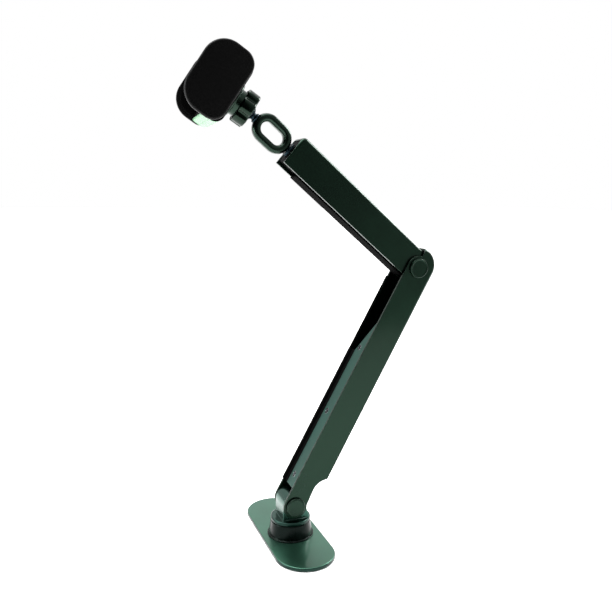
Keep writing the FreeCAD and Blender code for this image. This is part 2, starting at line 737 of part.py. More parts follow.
def makeEndPlug():
    """Block in the free end that carries the link's stud."""
    inner = upper_half - upper_wall
    face = upper_length - plug_recess
    plug = box((face - plug_depth, -inner, -plug_bottom), (face, inner, upper_top - upper_wall))
    plug = plug.makeFillet(upper_inner_round, edgesWhere(
        plug, lambda p, e: abs(abs(p.y) - inner) < 1e-6 and abs(p.z - (upper_top - upper_wall)) < 1e-6))
    plug = plug.cut(cylinder(stud_radius + fit_clearance, Vector(0, 0, 0),
                             Vector(upper_length + cut_margin, 0, 0)))
    for point in plugScrewPoints():
        plug = plug.cut(cylinder(plug_screw_radius, point, point - Vector(0, 0, plug_screw_length)))
    return plug


def makePlugScrews():
    return Part.makeCompound([
        countersunkScrew(point, Vector(0, 0, -1), plug_screw_radius, plug_screw_head_radius,
                         plug_screw_head_height, plug_screw_length) for point in plugScrewPoints()])


def makeLinkWasher():
    start = upper_length - plug_recess
    return tube(stud_collar_radius, stud_radius + fit_clearance, Vector(start, 0, 0),
                Vector(start + stud_washer_thickness - fit_clearance, 0, 0))


def studInnerEnd():
    return (upper_length - plug_recess - plug_depth - stud_spring_washer_thickness - stud_nut_thickness
            - stud_end_length)


def makeLinkStud():
    """Stud that turns in the end plug, with a collar outside and a tenon in the ring."""
    shank = cylinder(stud_radius, Vector(studInnerEnd(), 0, 0), Vector(upper_length, 0, 0))
    collar = cylinder(stud_collar_radius, Vector(upper_length, 0, 0), Vector(ring_start, 0, 0))
    tenon = cylinder(stud_tenon_radius, Vector(ring_start, 0, 0),
                     Vector(ring_start + stud_tenon_length, 0, 0))
    return fuseAll([shank, collar, tenon])


def makeStudNut():
    end = upper_length - plug_recess - plug_depth - stud_spring_washer_thickness
    corner = stud_nut_flats / 2 / math.cos(math.radians(30))
    nut = hexPrism(corner, Vector(end - stud_nut_thickness, 0, 0), Vector(end, 0, 0))
    return nut.cut(cylinder(stud_radius, Vector(0, 0, 0), Vector(upper_length, 0, 0)))


def makeStudSpringWasher():
    end = upper_length - plug_recess - plug_depth
    return tube(stud_nut_flats / 2, stud_radius + fit_clearance,
                Vector(end - stud_spring_washer_thickness, 0, 0), Vector(end, 0, 0))


def ringOutline(length, width, start, depth):
    radius = width / 2
    left, right = start + radius, start + length - radius
    block = box((left, -depth / 2, -radius), (right, depth / 2, radius))
    for middle in (left, right):
        block = block.fuse(cylinder(radius, Vector(middle, -depth / 2, 0), Vector(middle, depth / 2, 0)))
    return block.removeSplitter()


def makeLinkRing():
    """Oval ring with softly rounded edges; its flat ends take the stud and the ball's neck."""
    ring = ringOutline(ring_length, ring_width, ring_start, ring_depth)
    ring = ring.cut(ringOutline(ring_length - 2 * ring_wall, ring_width - 2 * ring_wall,
                                ring_start + ring_wall, 2 * ring_depth))
    ring = ring.makeFillet(ring_edge_round, edgesWhere(
        ring, lambda p, e: abs(abs(p.y) - ring_depth / 2) < 1e-6))
    for start, end in ((ring_start - 1, ring_start + stud_tenon_length),
                       (ring_end - stud_tenon_length, ring_end + 1)):
        ring = ring.cut(cylinder(stud_tenon_radius, Vector(start, 0, 0), Vector(end, 0, 0)))
    return ring


def makeBallStud():
    centre = Vector(ball_x, 0, 0)
    ball = Part.makeSphere(ball_radius, centre)
    neck = cylinder(ball_neck_radius, Vector(ring_end, 0, 0), centre)
    tenon = cylinder(stud_tenon_radius, Vector(ring_end - stud_tenon_length, 0, 0), centre)
    return fuseAll([ball, neck, tenon])


# ---------------------------------------------------------------- socket pieces, in the head frame
def sphericalZone(inner, outer, polar_from, polar_to):
    """Shell between two spheres and two cones round X; polar angles are measured from +X."""
    def at(radius, angle):
        return Vector(radius * math.cos(math.radians(angle)), 0, radius * math.sin(math.radians(angle)))
    middle = (polar_from + polar_to) / 2
    edges = [arcThrough(at(outer, polar_from), at(outer, middle), at(outer, polar_to)),
             line(at(outer, polar_to), at(inner, polar_to)),
             arcThrough(at(inner, polar_to), at(inner, middle), at(inner, polar_from)),
             line(at(inner, polar_from), at(outer, polar_from))]
    return Part.Face(Part.Wire(edges)).revolve(Vector(0, 0, 0), Vector(1, 0, 0), 360)


def makeRearLiner():
    return sphericalZone(liner_inner, liner_outer, rear_liner_from, rear_liner_to)


def makeFrontLiner():
    return sphericalZone(liner_inner, liner_outer, 0.0, front_liner_to)


def cupScrewPoints(x):
    return [Vector(x, p.x, p.y) for p in onCircle(cup_screw_circle, cup_screw_count, Vector(0, 0, 0), 90.0)]


def makeSocketCup():
    """Threaded cup round the front of the ball, with a flange that the clamp is screwed to."""
    cup = cylinder(cup_thread_radius, Vector(cup_rear, 0, 0), Vector(flange_back, 0, 0))
    flange = cylinder(flange_radius, Vector(flange_back, 0, 0), Vector(flange_front, 0, 0))
    flange = flange.makeFillet(flange_edge_round, edgesWhere(
        flange, lambda p, e: abs(p.x - flange_back) < 1e-6))
    cup = cup.fuse(flange)
    cup = cup.cut(Part.makeSphere(socket_radius, Vector(0, 0, 0)))
    for point in cupScrewPoints(flange_back):
        cup = cup.cut(cylinder(cup_screw_radius, point, Vector(flange_front + 1, point.y, point.z)))
    return cup


def makeLockNut():
    """Lobed nut threaded on the cup; its rear lip holds the ball and opens out for the neck."""
    nut = cylinder(nut_radius, Vector(nut_rear, 0, 0), Vector(nut_front, 0, 0))
    nut = nut.makeFillet(nut_edge_round, edgesWhere(
        nut, lambda p, e: abs(p.x - nut_rear) < 1e-6 or abs(p.x - nut_front) < 1e-6))
    for i in range(nut_lobes):
        angle = math.radians(360.0 * i / nut_lobes)
        y, z = nut_groove_circle * math.cos(angle), nut_groove_circle * math.sin(angle)
        nut = nut.cut(cylinder(nut_groove_radius, Vector(nut_rear - 1, y, z), Vector(nut_front + 1, y, z)))
    thread = cylinder(cup_thread_radius + thread_clearance, Vector(cup_rear - thread_relief, 0, 0),
                      Vector(nut_front + 1, 0, 0))
    opening = cylinder(nut_opening_radius, Vector(nut_rear - 1, 0, 0), Vector(0, 0, 0))
    flare = Part.makeCone(nut_opening_radius + nut_opening_flare, nut_opening_radius, nut_opening_flare,
                          Vector(nut_rear, 0, 0), Vector(1, 0, 0))
    return nut.cut(thread).cut(opening).cut(flare).cut(Part.makeSphere(socket_radius, Vector(0, 0, 0)))


# ---------------------------------------------------------------- clamp pieces, in the head frame
def rodPoints():
    return [Vector(housing_split, 0, side * rod_spacing / 2) for side in (-1, 1)]


def shellScrewPoints():
    reach = housing_length * shell_screw_reach
    return [Vector(0, side * reach, shell_screw_height) for side in (-1, 1)]


def housingBlock(split, face, corner):
    """Half of the housing: a bar along Y whose two long edges at the face are rounded."""
    top = housing_height / 2
    low = -top - housing_drop
    way = 1 if face > split else -1
    turn = corner * (1 - math.cos(math.radians(45)))
    start = face - way * corner
    edges = [line(Vector(split, 0, low), Vector(split, 0, top)),
             line(Vector(split, 0, top), Vector(start, 0, top)),
             arcThrough(Vector(start, 0, top), Vector(face - way * turn, 0, top - turn),
                        Vector(face, 0, top - corner)),
             line(Vector(face, 0, top - corner), Vector(face, 0, low + corner)),
             arcThrough(Vector(face, 0, low + corner), Vector(face - way * turn, 0, low + turn),
                        Vector(start, 0, low)),
             line(Vector(start, 0, low), Vector(split, 0, low))]
    return extrudeAcross(edges, housing_length / 2)


def springChamber():
    """Space for both springs between the guide rods."""
    half_y = housing_length / 2 - spring_end_wall
    depth = spring_coil_radius + spring_wire_radius + spring_room
    half_z = spring_spacing / 2 + depth
    return box((housing_split - depth, -half_y, -half_z), (housing_split + depth, half_y, half_z))


def cutCommonHollows(shell):
    """Cut the guide-rod bores, the spring chamber and the shell-screw holes."""
    for point in rodPoints():
        start = Vector(point.x, housing_length / 2 + 1, point.z)
        end = Vector(point.x, jaw_inner - rod_engagement - rod_bore_run_out, point.z)
        shell = shell.cut(cylinder(rod_radius + rod_clearance, end, start))
    shell = shell.cut(springChamber())
    return shell


def makeHousingBack():
    shell = cutCommonHollows(housingBlock(housing_split, flange_front, housing_back_round))
    for point in cupScrewPoints(flange_front):
        inner = Vector(flange_front + housing_wall, point.y, point.z)
        shell = shell.cut(cylinder(cup_screw_radius, Vector(flange_front - 1, point.y, point.z), inner))
        shell = shell.cut(cylinder(cup_screw_head_radius + screw_head_clearance, inner,
                                   Vector(housing_split, point.y, point.z)))
    for point in shellScrewPoints():
        floor = Vector(flange_front + shell_screw_floor, point.y, point.z)
        shell = shell.cut(cylinder(shell_screw_radius, floor, Vector(housing_split + 1, point.y, point.z)))
    return cutFixedJawScrews(shell)


def makeHousingFront():
    shell = cutCommonHollows(housingBlock(housing_split, housing_front, housing_front_round))
    for point in shellScrewPoints():
        head_at = Vector(housing_front, point.y, point.z)
        shell = shell.cut(countersunkHole(head_at, Vector(-1, 0, 0), shell_screw_radius,
                                          shell_screw_head_radius, shell_screw_radius, housing_depth))
    return cutFixedJawScrews(shell)


def makeShellScrews():
    return Part.makeCompound([
        countersunkScrew(Vector(housing_front, point.y, point.z), Vector(-1, 0, 0), shell_screw_radius,
                         shell_screw_head_radius, shell_screw_radius, shell_screw_length)
        for point in shellScrewPoints()])


def makeCupScrews():
    seat = flange_front + housing_wall
    return Part.makeCompound([
        panScrew(Vector(seat, point.y, point.z), Vector(-1, 0, 0), cup_screw_radius, cup_screw_head_radius,
                 cup_screw_head_height, housing_wall + flange_front - flange_back - cup_screw_end_gap)
        for point in cupScrewPoints(seat)])


def makeFacePad():
    """Rubber pad on the housing's face, which the phone's back rests on."""
    half_y = housing_length / 2 - face_pad_inset
    half_z = housing_height / 2 - face_pad_inset
    return roundedSlab(housing_front, housing_front + face_pad_thickness, half_y, half_z,
                       face_pad_corner)


def jawOutline(inset):
    """Outline of a jaw in the XZ plane: large rounds at the front, small ones at the back."""
    back, front = jaw_back + inset, jaw_back + jaw_depth - inset
    top = jaw_height / 2 - inset
    rf, rb = jaw_front_round - inset, jaw_back_round - inset
    diagonal = math.cos(math.radians(45))

    def corner(cx, cz, sx, sz, r, start, end):
        return arcThrough(start, Vector(cx + sx * r * diagonal, 0, cz + sz * r * diagonal), end)
    points = [Vector(front - rf, 0, top), Vector(back + rb, 0, top), Vector(back, 0, top - rb),
              Vector(back, 0, -top + rb), Vector(back + rb, 0, -top), Vector(front - rf, 0, -top),
              Vector(front, 0, -top + rf), Vector(front, 0, top - rf)]
    return [line(points[0], points[1]),
            corner(back + rb, top - rb, -1, 1, rb, points[1], points[2]),
            line(points[2], points[3]),
            corner(back + rb, -top + rb, -1, -1, rb, points[3], points[4]),
            line(points[4], points[5]),
            corner(front - rf, -top + rf, 1, -1, rf, points[5], points[6]),
            line(points[6], points[7]),
            corner(front - rf, top - rf, 1, 1, rf, points[7], points[0])]


def jawSlab(inset, y_from, y_to):
    low, high = min(y_from, y_to), max(y_from, y_to)
    slab = extrudeAcross(jawOutline(inset), (high - low) / 2)
    slab.translate(Vector(0, (low + high) / 2, 0))
    return slab


def makeJaw(side):
    """Jaw plate with a softly rounded outer face; side is 1 for the sliding jaw, -1 for the fixed one."""
    inner = side * (jaw_inner if side > 0 else housing_length / 2)
    outer = inner + side * jaw_thickness
    jaw = jawSlab(0.0, inner, outer)
    return jaw.makeFillet(jaw_edge_round, edgesWhere(jaw, lambda p, e: abs(p.y - outer) < 1e-6))


def jawScrewPoints():
    x = housing_split
    return [Vector(x, -housing_length / 2 - jaw_thickness, side * jaw_screw_spacing / 2) for side in (-1, 1)]


def cutFixedJawScrews(shape):
    for point in jawScrewPoints():
        shape = shape.cut(countersunkHole(point, Vector(0, 1, 0), jaw_screw_radius, jaw_screw_head_radius,
                                          jaw_screw_radius, jaw_screw_length))
    return shape


def makeFixedJaw():
    return cutFixedJawScrews(makeJaw(-1))


def makeJawScrews():
    return Part.makeCompound([
        countersunkScrew(point, Vector(0, 1, 0), jaw_screw_radius, jaw_screw_head_radius, jaw_screw_radius,
                         jaw_screw_length) for point in jawScrewPoints()])


def makeSlidingJaw():
    jaw = makeJaw(1)
    for point in rodPoints():
        jaw = jaw.cut(cylinder(rod_radius, Vector(point.x, jaw_inner - 1, point.z),
                               Vector(point.x, jaw_inner + rod_seat, point.z)))
    return jaw


def makeJawPad(side):
    """Ribbed rubber pad in front of the housing, on the inner face of a jaw."""
    face = side * (jaw_inner if side > 0 else housing_length / 2)
    surface = face - side * jaw_pad_thickness
    pad = jawSlab(jaw_pad_inset, face, surface)
    clear = housing_front + face_pad_thickness + jaw_pad_gap
    pad = pad.cut(box((-cut_margin, -2 * housing_length, -cut_margin),
                      (clear, 2 * housing_length, cut_margin)))
    half = jaw_height / 2 - jaw_pad_inset - jaw_front_round + jaw_rib_width
    for i in range(jaw_pad_ribs):
        x = clear + jaw_rib_width + i * jaw_rib_pitch
        low, high = sorted((surface, surface - side * jaw_rib_height))
        pad = pad.fuse(box((x, low, -half), (x + jaw_rib_width, high, half)))
    return pad.removeSplitter()


def makeGuideRods():
    return Part.makeCompound([
        cylinder(rod_radius, Vector(point.x, jaw_inner - rod_engagement, point.z),
                 Vector(point.x, jaw_inner + rod_seat, point.z)) for point in rodPoints()])


def makeClampSprings():
    """Two light extension springs that pull the sliding jaw in."""
    springs = []
    length = spring_pitch * spring_turns
    for side in (-1, 1):
        helix = Part.makeHelix(spring_pitch, length, spring_coil_radius)
        profile = Part.Wire(Part.makeCircle(spring_wire_radius, Vector(spring_coil_radius, 0, 0),
                                            Vector(0, 1, 0)))
        coil = Part.Wire(helix).makePipeShell([profile], True, True)
        coil.Placement = Placement(Vector(housing_split, length / 2, side * spring_spacing / 2),
                                   Rotation(Vector(1, 0, 0), 90))
        springs.append(coil)
    return Part.makeCompound(springs)


def main():
    os.makedirs("parts", exist_ok=True)
    save("base_pad", makeBasePad())
    save("base_plate", makeBasePlate())
    save("base_screws", makeBaseScrews())
    save("hub_housing", makeHubHousing())
    save("thrust_washer", makeThrustWasher())
    save("swivel_knuckle", makeSwivelKnuckle())
    save("wave_washer", makeWaveWasher())
    save("retaining_washer", makeRetainingWasher())
    save("swivel_bolt", makeSwivelBolt())

    for name, frame in (("lower", lowerFrame), ("elbow", elbowFrame)):
        save(name + "_pivot_bolt", makePivotBolt(), frame)
        save(name + "_pivot_nut", makePivotNut(), frame)
        save(name + "_cap_near", makePivotCap(1), frame)
        save(name + "_cap_far", makePivotCap(-1), frame)
        save(name + "_friction_washers", makePivotWashers(), frame)

    save("lower_arm", makeLowerArm(), lowerFrame)
    save("cover_strip", makeCoverStrip(), lowerFrame)
    save("cable_seal", makeCableSeal(), lowerFrame)
    save("seal_bar", makeSealBar(), lowerFrame)
    save("cover_screws", makeCoverScrews(), lowerFrame)

    save("upper_arm", makeUpperArm(), upperFrame)
    save("elbow_barrel", makeElbowBarrel(), upperFrame)
    save("upper_cable_lip", makeUpperCableLip(), upperFrame)
    save("end_plug", makeEndPlug(), upperFrame)
    save("plug_screws", makePlugScrews(), upperFrame)
    save("link_washer", makeLinkWasher(), upperFrame)
    save("link_stud", makeLinkStud(), upperFrame)
    save("stud_nut", makeStudNut(), upperFrame)
    save("stud_spring_washer", makeStudSpringWasher(), upperFrame)
    save("link_ring", makeLinkRing(), upperFrame)
    save("ball_stud", makeBallStud(), upperFrame)

    save("rear_ball_liner", makeRearLiner(), headFrame)
    save("front_ball_liner", makeFrontLiner(), headFrame)
    save("socket_cup", makeSocketCup(), headFrame)
    save("lock_nut", makeLockNut(), headFrame)
    save("cup_screws", makeCupScrews(), headFrame)
    save("clamp_back_shell", makeHousingBack(), headFrame)
    save("clamp_front_shell", makeHousingFront(), headFrame)
    save("shell_screws", makeShellScrews(), headFrame)
    save("face_pad", makeFacePad(), headFrame)
    save("fixed_jaw", makeFixedJaw(), headFrame)
    save("fixed_jaw_pad", makeJawPad(-1), headFrame)
    save("fixed_jaw_screws", makeJawScrews(), headFrame)
    save("clamp_springs", makeClampSprings(), headFrame)
    save("sliding_jaw", makeSlidingJaw(), headFrame)
    save("sliding_jaw_pad", makeJawPad(1), headFrame)
    save("guide_rods", makeGuideRods(), headFrame)

    print("lower pivot", lowerPivot, "elbow pivot", elbowPivot, "ball centre", ballCentre)
    print("upper arm axis", upperAlong, "head axis", headRotation.multVec(Vector(1, 0, 0)))
    print("pan axis", headTop, "jaw travel axis", headRotation.multVec(Vector(0, 1, 0)))


main()
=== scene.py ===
import bmesh
import bpy
import json
import math
from mathutils import Euler, Matrix, Vector


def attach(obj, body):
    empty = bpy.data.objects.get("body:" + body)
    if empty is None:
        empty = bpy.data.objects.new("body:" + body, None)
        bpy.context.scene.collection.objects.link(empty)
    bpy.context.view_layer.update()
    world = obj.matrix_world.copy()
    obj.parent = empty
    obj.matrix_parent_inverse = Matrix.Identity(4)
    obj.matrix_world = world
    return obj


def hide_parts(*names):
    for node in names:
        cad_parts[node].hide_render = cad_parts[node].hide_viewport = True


# Folding arm phone stand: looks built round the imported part. Shapes are drawn in millimetres in the
# frame of the arm, head or hub they belong to, then placed in metres.
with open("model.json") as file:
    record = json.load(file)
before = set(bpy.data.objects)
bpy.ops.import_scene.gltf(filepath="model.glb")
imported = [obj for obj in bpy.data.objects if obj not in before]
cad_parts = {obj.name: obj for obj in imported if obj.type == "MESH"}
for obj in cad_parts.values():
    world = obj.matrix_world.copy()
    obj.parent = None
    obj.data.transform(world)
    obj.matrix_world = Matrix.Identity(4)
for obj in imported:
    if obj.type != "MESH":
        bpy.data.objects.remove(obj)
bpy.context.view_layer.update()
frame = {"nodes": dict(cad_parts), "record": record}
nodes = frame["nodes"]
joints = {joint["name"]: joint for joint in frame["record"]["behaviour"]["joints"]}
mm = 0.001
rimAngle = math.radians(30)  # sharper edges than this are rounded or kept crisp


# ---- frames, read from the joints
def placeFrom(origin, along, across):
    x = Vector(along).normalized()
    y = (Vector(across) - x * Vector(across).dot(x)).normalized()
    z = x.cross(y)
    turn = Matrix((x, y, z)).transposed().to_4x4()
    return Matrix.Translation(Vector(origin)) @ turn @ Matrix.Scale(mm, 4)


nearSide = (0, -1, 0)
lowerPivot = Vector(joints["lower_tilt"]["pos_m"])
elbowPivot = Vector(joints["elbow_fold"]["pos_m"])
ballCentre = Vector(joints["ball_tilt"]["pos_m"])
worldPlace = Matrix.Scale(mm, 4)
lowerPlace = placeFrom(lowerPivot, elbowPivot - lowerPivot, nearSide)
elbowPlace = placeFrom(elbowPivot, elbowPivot - lowerPivot, nearSide)
upperPlace = placeFrom(elbowPivot, joints["link_swivel"]["axis"], nearSide)
headPlace = placeFrom(ballCentre, joints["ball_roll"]["axis"], joints["jaw_slide"]["axis"])
ballX = (ballCentre - elbowPivot).length / mm
print("frames ready, ball centre %.1f mm from the elbow" % ballX)


# ---- materials
def hexColor(code):
    values = [int(code[i:i + 2], 16) / 255 for i in (1, 3, 5)]
    return tuple(v / 12.92 if v <= 0.04045 else ((v + 0.055) / 1.055) ** 2.4 for v in values) + (1.0,)


def addNode(tree, kind, settings, links=None):
    node = tree.nodes.new(kind)
    for key, value in settings.items():
        if isinstance(key, int) or key in node.inputs:
            node.inputs[key].default_value = value
        else:
            setattr(node, key, value)
    for key, socket in (links or {}).items():
        tree.links.new(socket, node.inputs[key])
    return node


def newMaterial(name):
    material = bpy.data.materials.new(name)
    material.use_nodes = True
    material.node_tree.nodes.clear()
    return material, material.node_tree


def closeMaterial(tree, shader):
    addNode(tree, "ShaderNodeOutputMaterial", {}, {"Surface": shader.outputs["BSDF"]})


def patternPoint(tree):
    return addNode(tree, "ShaderNodeTexCoord", {}).outputs["Object"]


def edgeMask(tree, radius):
    # how far the rounded normal leans away from the true one: 1 on an edge, 0 on a flat
    rounded = addNode(tree, "ShaderNodeBevel", {"samples": 6, "Radius": radius})
    flat = addNode(tree, "ShaderNodeNewGeometry", {})
    lean = addNode(tree, "ShaderNodeVectorMath", {"operation": "DOT_PRODUCT"},
                   {0: rounded.outputs["Normal"], 1: flat.outputs["Normal"]})
    mask = addNode(tree, "ShaderNodeMapRange", {"From Min": 0.995, "From Max": 0.90, "To Min": 0.0,
                                                "To Max": 1.0}, {"Value": lean.outputs["Value"]})
    return rounded.outputs["Normal"], mask.outputs["Result"]


def mixedColor(tree, look, clouds):
    return addNode(tree, "ShaderNodeMixRGB",
                   {"Color1": hexColor(look["deep"]), "Color2": hexColor(look["pale"])},
                   {"Fac": clouds.outputs["Fac"]})


# Anodised aluminium: dyed oxide over a fine blasted surface. Dark green metal with a soft sheen, paler
# where the edge has rubbed, and a faint cloudiness from the dye bath. The sealed oxide is a clear coat
# that gives the pale gloss along rounded edges. Its IOR is set below real oxide's, to keep flats dark.
def anodisedAluminium(name, look):
    material, tree = newMaterial(name)
    point = patternPoint(tree)
    clouds = addNode(tree, "ShaderNodeTexNoise", {"Scale": 1 / look["cloudSize"], "Detail": 3.0,
                                                  "Roughness": 0.55}, {"Vector": point})
    dye = mixedColor(tree, look, clouds)
    roundNormal, mask = edgeMask(tree, look["edgeRadius"])
    breakUp = addNode(tree, "ShaderNodeTexNoise", {"Scale": 1 / look["wearSize"], "Detail": 4.0},
                      {"Vector": point})
    wearRange = addNode(tree, "ShaderNodeMapRange", {"From Min": 0.35, "From Max": 0.7, "To Min": 0.0,
                                                     "To Max": look["wear"]},
                        {"Value": breakUp.outputs["Fac"]})
    wear = addNode(tree, "ShaderNodeMath", {"operation": "MULTIPLY"},
                   {0: wearRange.outputs["Result"], 1: mask})
    color = addNode(tree, "ShaderNodeMixRGB", {"Color2": hexColor(look["rubbed"])},
                    {"Fac": wear.outputs["Value"], "Color1": dye.outputs["Color"]})
    grit = addNode(tree, "ShaderNodeTexNoise", {"Scale": 1 / look["gritSize"], "Detail": 2.0},
                   {"Vector": point})
    roughness = addNode(tree, "ShaderNodeMapRange", {"From Min": 0.3, "From Max": 0.7,
                                                     "To Min": look["roughness"] - 0.05,
                                                     "To Max": look["roughness"] + 0.07},
                        {"Value": clouds.outputs["Fac"]})
    bump = addNode(tree, "ShaderNodeBump", {"Strength": look["bump"], "Distance": look["gritSize"] * 0.2},
                   {"Height": grit.outputs["Fac"], "Normal": roundNormal})
    shader = addNode(tree, "ShaderNodeBsdfPrincipled",
                     {"Metallic": look["metallic"], "Coat Weight": look["oxide"],
                      "Coat Roughness": look["oxideRoughness"], "Coat IOR": look["oxideIor"]},
                     {"Base Color": color.outputs["Color"], "Roughness": roughness.outputs["Result"],
                      "Normal": bump.outputs["Normal"], "Coat Normal": bump.outputs["Normal"]})
    closeMaterial(tree, shader)
    return material


# One look for the arms, and the others are its variants. Grit is drawn at 0.35 mm, several times the
# real blasting grain, so that it shows. The pale green look has no metal in it.
armLook = {"deep": "#0f2118", "pale": "#152b1f", "rubbed": "#8fa39a", "cloudSize": 0.035, "wearSize": 0.004,
           "gritSize": 0.00035, "edgeRadius": 0.0005, "wear": 0.3, "roughness": 0.30, "bump": 0.1,
           "metallic": 1.0, "oxide": 0.33, "oxideRoughness": 0.12, "oxideIor": 1.35}
armMetal = anodisedAluminium("dark green anodised aluminium", armLook)
baseLook = dict(armLook, deep="#35614f", pale="#41705c", rubbed="#a9bdb4", roughness=0.34, oxide=0.8)
baseMetal = anodisedAluminium("teal green anodised base plate", baseLook)
# Darker copy of the anodised green for the side faces of the base plate and turntable: painted shade, the
# sides kept darker than the tops of the same metal.
sideShadeLook = dict(armLook, deep="#0d211b", pale="#143029", rubbed="#5f7f73", roughness=0.3)
sideShadeMetal = anodisedAluminium("anodised side faces painted darker as shade", sideShadeLook)
knuckleLook = dict(armLook, deep="#27463d", pale="#33564b", rubbed="#b9d0c8", roughness=0.2)
knuckleMetal = anodisedAluminium("dark teal machined knuckle", knuckleLook)
hubLook = dict(armLook, deep="#080e0c", pale="#0e1614", rubbed="#6d7a75", roughness=0.26, oxide=0.1)
hubMetal = anodisedAluminium("near black anodised hub", hubLook)
nutLook = dict(armLook, deep="#101c15", pale="#182a1f", rubbed="#7d9784", roughness=0.2)
nutMetal = anodisedAluminium("black green anodised nut", nutLook)
ringLook = dict(armLook, deep="#18271f", pale="#223329", rubbed="#8fa39c", roughness=0.22)
ringMetal = anodisedAluminium("dark green anodised ring", ringLook)
# Pale green for the clamp housing's lower end faces: a painted reflection of the white floor below, not a
# separate plate.
paleReflectionLook = dict(armLook, deep="#5f8f69", pale="#6d9d77", rubbed="#8fb598", roughness=0.4, bump=0.02,
                metallic=0.0, oxide=0.2, edgeRadius=0.0002)
paintedFloorReflection = anodisedAluminium("pale green painted floor reflection", paleReflectionLook)
ledgeLook = dict(armLook, deep="#15443a", pale="#1d5145", rubbed="#a8bdb4", roughness=0.33)
ledgeMetal = anodisedAluminium("mid green anodised cover", ledgeLook)


# Steel, turned or drawn: grey-blue, with fine rings or lines from the tool.
def turnedSteel(name, look):
    material, tree = newMaterial(name)
    point = patternPoint(tree)
    clouds = addNode(tree, "ShaderNodeTexNoise", {"Scale": 1 / look["cloudSize"], "Detail": 3.0},
                     {"Vector": point})
    color = mixedColor(tree, look, clouds)
    lines = addNode(tree, "ShaderNodeTexNoise", {"Scale": 1 / look["lineSize"], "Detail": 2.0},
                    {"Vector": point})
    roundNormal, mask = edgeMask(tree, look["edgeRadius"])
    bump = addNode(tree, "ShaderNodeBump", {"Strength": 0.05, "Distance": look["lineSize"] * 0.2},
                   {"Height": lines.outputs["Fac"], "Normal": roundNormal})
    worn = addNode(tree, "ShaderNodeMixRGB", {"Color2": hexColor(look["rubbed"])},
                   {"Fac": mask, "Color1": color.outputs["Color"]})
    shader = addNode(tree, "ShaderNodeBsdfPrincipled", {"Metallic": 1.0, "Roughness": look["roughness"]},
                     {"Base Color": worn.outputs["Color"], "Normal": bump.outputs["Normal"]})
    closeMaterial(tree, shader)
    return material


steelLook = {"deep": "#5e6a72", "pale": "#79868e", "rubbed": "#aab4ba", "cloudSize": 0.006,
             "lineSize": 0.0003, "edgeRadius": 0.0003, "roughness": 0.28}
steel = turnedSteel("turned steel", steelLook)
blackSteel = turnedSteel("black oxide steel screws", dict(steelLook, deep="#14181a", pale="#202628",
                                                          rubbed="#8a9294", roughness=0.2))
neckSteel = turnedSteel("grey blue ball stud steel", dict(steelLook, deep="#16232b", pale="#1f2c30",
                                                           rubbed="#34434a", roughness=0.4, lineSize=0.003))
springSteel = turnedSteel("drawn spring wire", dict(steelLook, deep="#6d7274", pale="#8b9092"))


# Moulded ABS with a fine spark-eroded texture: black, soft grey sheen, duller hollows.
def mouldedAbs(name, look):
    material, tree = newMaterial(name)
    point = patternPoint(tree)
    texture = addNode(tree, "ShaderNodeTexNoise", {"Scale": 1 / look["grainSize"], "Detail": 3.0,
                                                   "Roughness": 0.6}, {"Vector": point})
    clouds = addNode(tree, "ShaderNodeTexNoise", {"Scale": 1 / look["cloudSize"], "Detail": 2.0},
                     {"Vector": point})
    color = mixedColor(tree, look, clouds)
    roundNormal, mask = edgeMask(tree, look["edgeRadius"])
    worn = addNode(tree, "ShaderNodeMath", {"operation": "MULTIPLY", 1: look["wear"]}, {0: mask})
    rubbed = addNode(tree, "ShaderNodeMixRGB", {"Color2": hexColor(look["rubbed"])},
                     {"Fac": worn.outputs["Value"], "Color1": color.outputs["Color"]})
    roughness = addNode(tree, "ShaderNodeMapRange", {"From Min": 0.3, "From Max": 0.7,
                                                     "To Min": look["roughness"] - 0.06,
                                                     "To Max": look["roughness"] + 0.08},
                        {"Value": texture.outputs["Fac"]})
    bump = addNode(tree, "ShaderNodeBump", {"Strength": look["bump"], "Distance": look["grainSize"] * 0.25},
                   {"Height": texture.outputs["Fac"], "Normal": roundNormal})
    shader = addNode(tree, "ShaderNodeBsdfPrincipled",
                     {"IOR": look["ior"], "Specular IOR Level": look["gloss"]},
                     {"Base Color": rubbed.outputs["Color"], "Roughness": roughness.outputs["Result"],
                      "Normal": bump.outputs["Normal"]})
    closeMaterial(tree, shader)
    return material


absLook = {"deep": "#020202", "pale": "#040404", "rubbed": "#2c302f", "grainSize": 0.0005, "cloudSize": 0.02,
           "edgeRadius": 0.0005, "wear": 0.25, "roughness": 0.4, "bump": 0.15, "ior": 1.5, "gloss": 0.12}
blackAbs = mouldedAbs("black moulded ABS", absLook)
rubberLook = dict(absLook, deep="#030303", pale="#060606", rubbed="#101111", gloss=0.02, roughness=0.8,
                  bump=0.2, grainSize=0.0004, ior=1.52)
blackRubber = mouldedAbs("black moulded silicone rubber", rubberLook)
nylonLook = dict(absLook, deep="#030303", pale="#060606", rubbed="#141515", roughness=0.6, gloss=0.04)
blackNylon = mouldedAbs("black nylon", nylonLook)
print("materials ready")

# CAD pieces whose own shape is shown
keptFinish = {
    steel: ["retaining_washer", "swivel_bolt", "lower_pivot_bolt", "lower_pivot_nut", "elbow_pivot_bolt",
            "elbow_pivot_nut", "seal_bar", "elbow_barrel", "guide_rods"],
    neckSteel: ["link_stud", "stud_nut", "stud_spring_washer"],
    blackSteel: ["base_screws", "cover_screws", "plug_screws", "cup_screws", "shell_screws",
                 "fixed_jaw_screws"],
    springSteel: ["wave_washer", "clamp_springs"],
    blackNylon: ["thrust_washer", "lower_friction_washers", "elbow_friction_washers", "link_washer",
                 "rear_ball_liner", "front_ball_liner", "end_plug"],
    ledgeMetal: ["cover_strip"],
}
for finish, names in keptFinish.items():
    for nodeName in names:
        slots = nodes[nodeName].material_slots
        if not slots:
            nodes[nodeName].data.materials.append(finish)
        for materialSlot in slots:
            materialSlot.material = finish
print("CAD pieces finished")


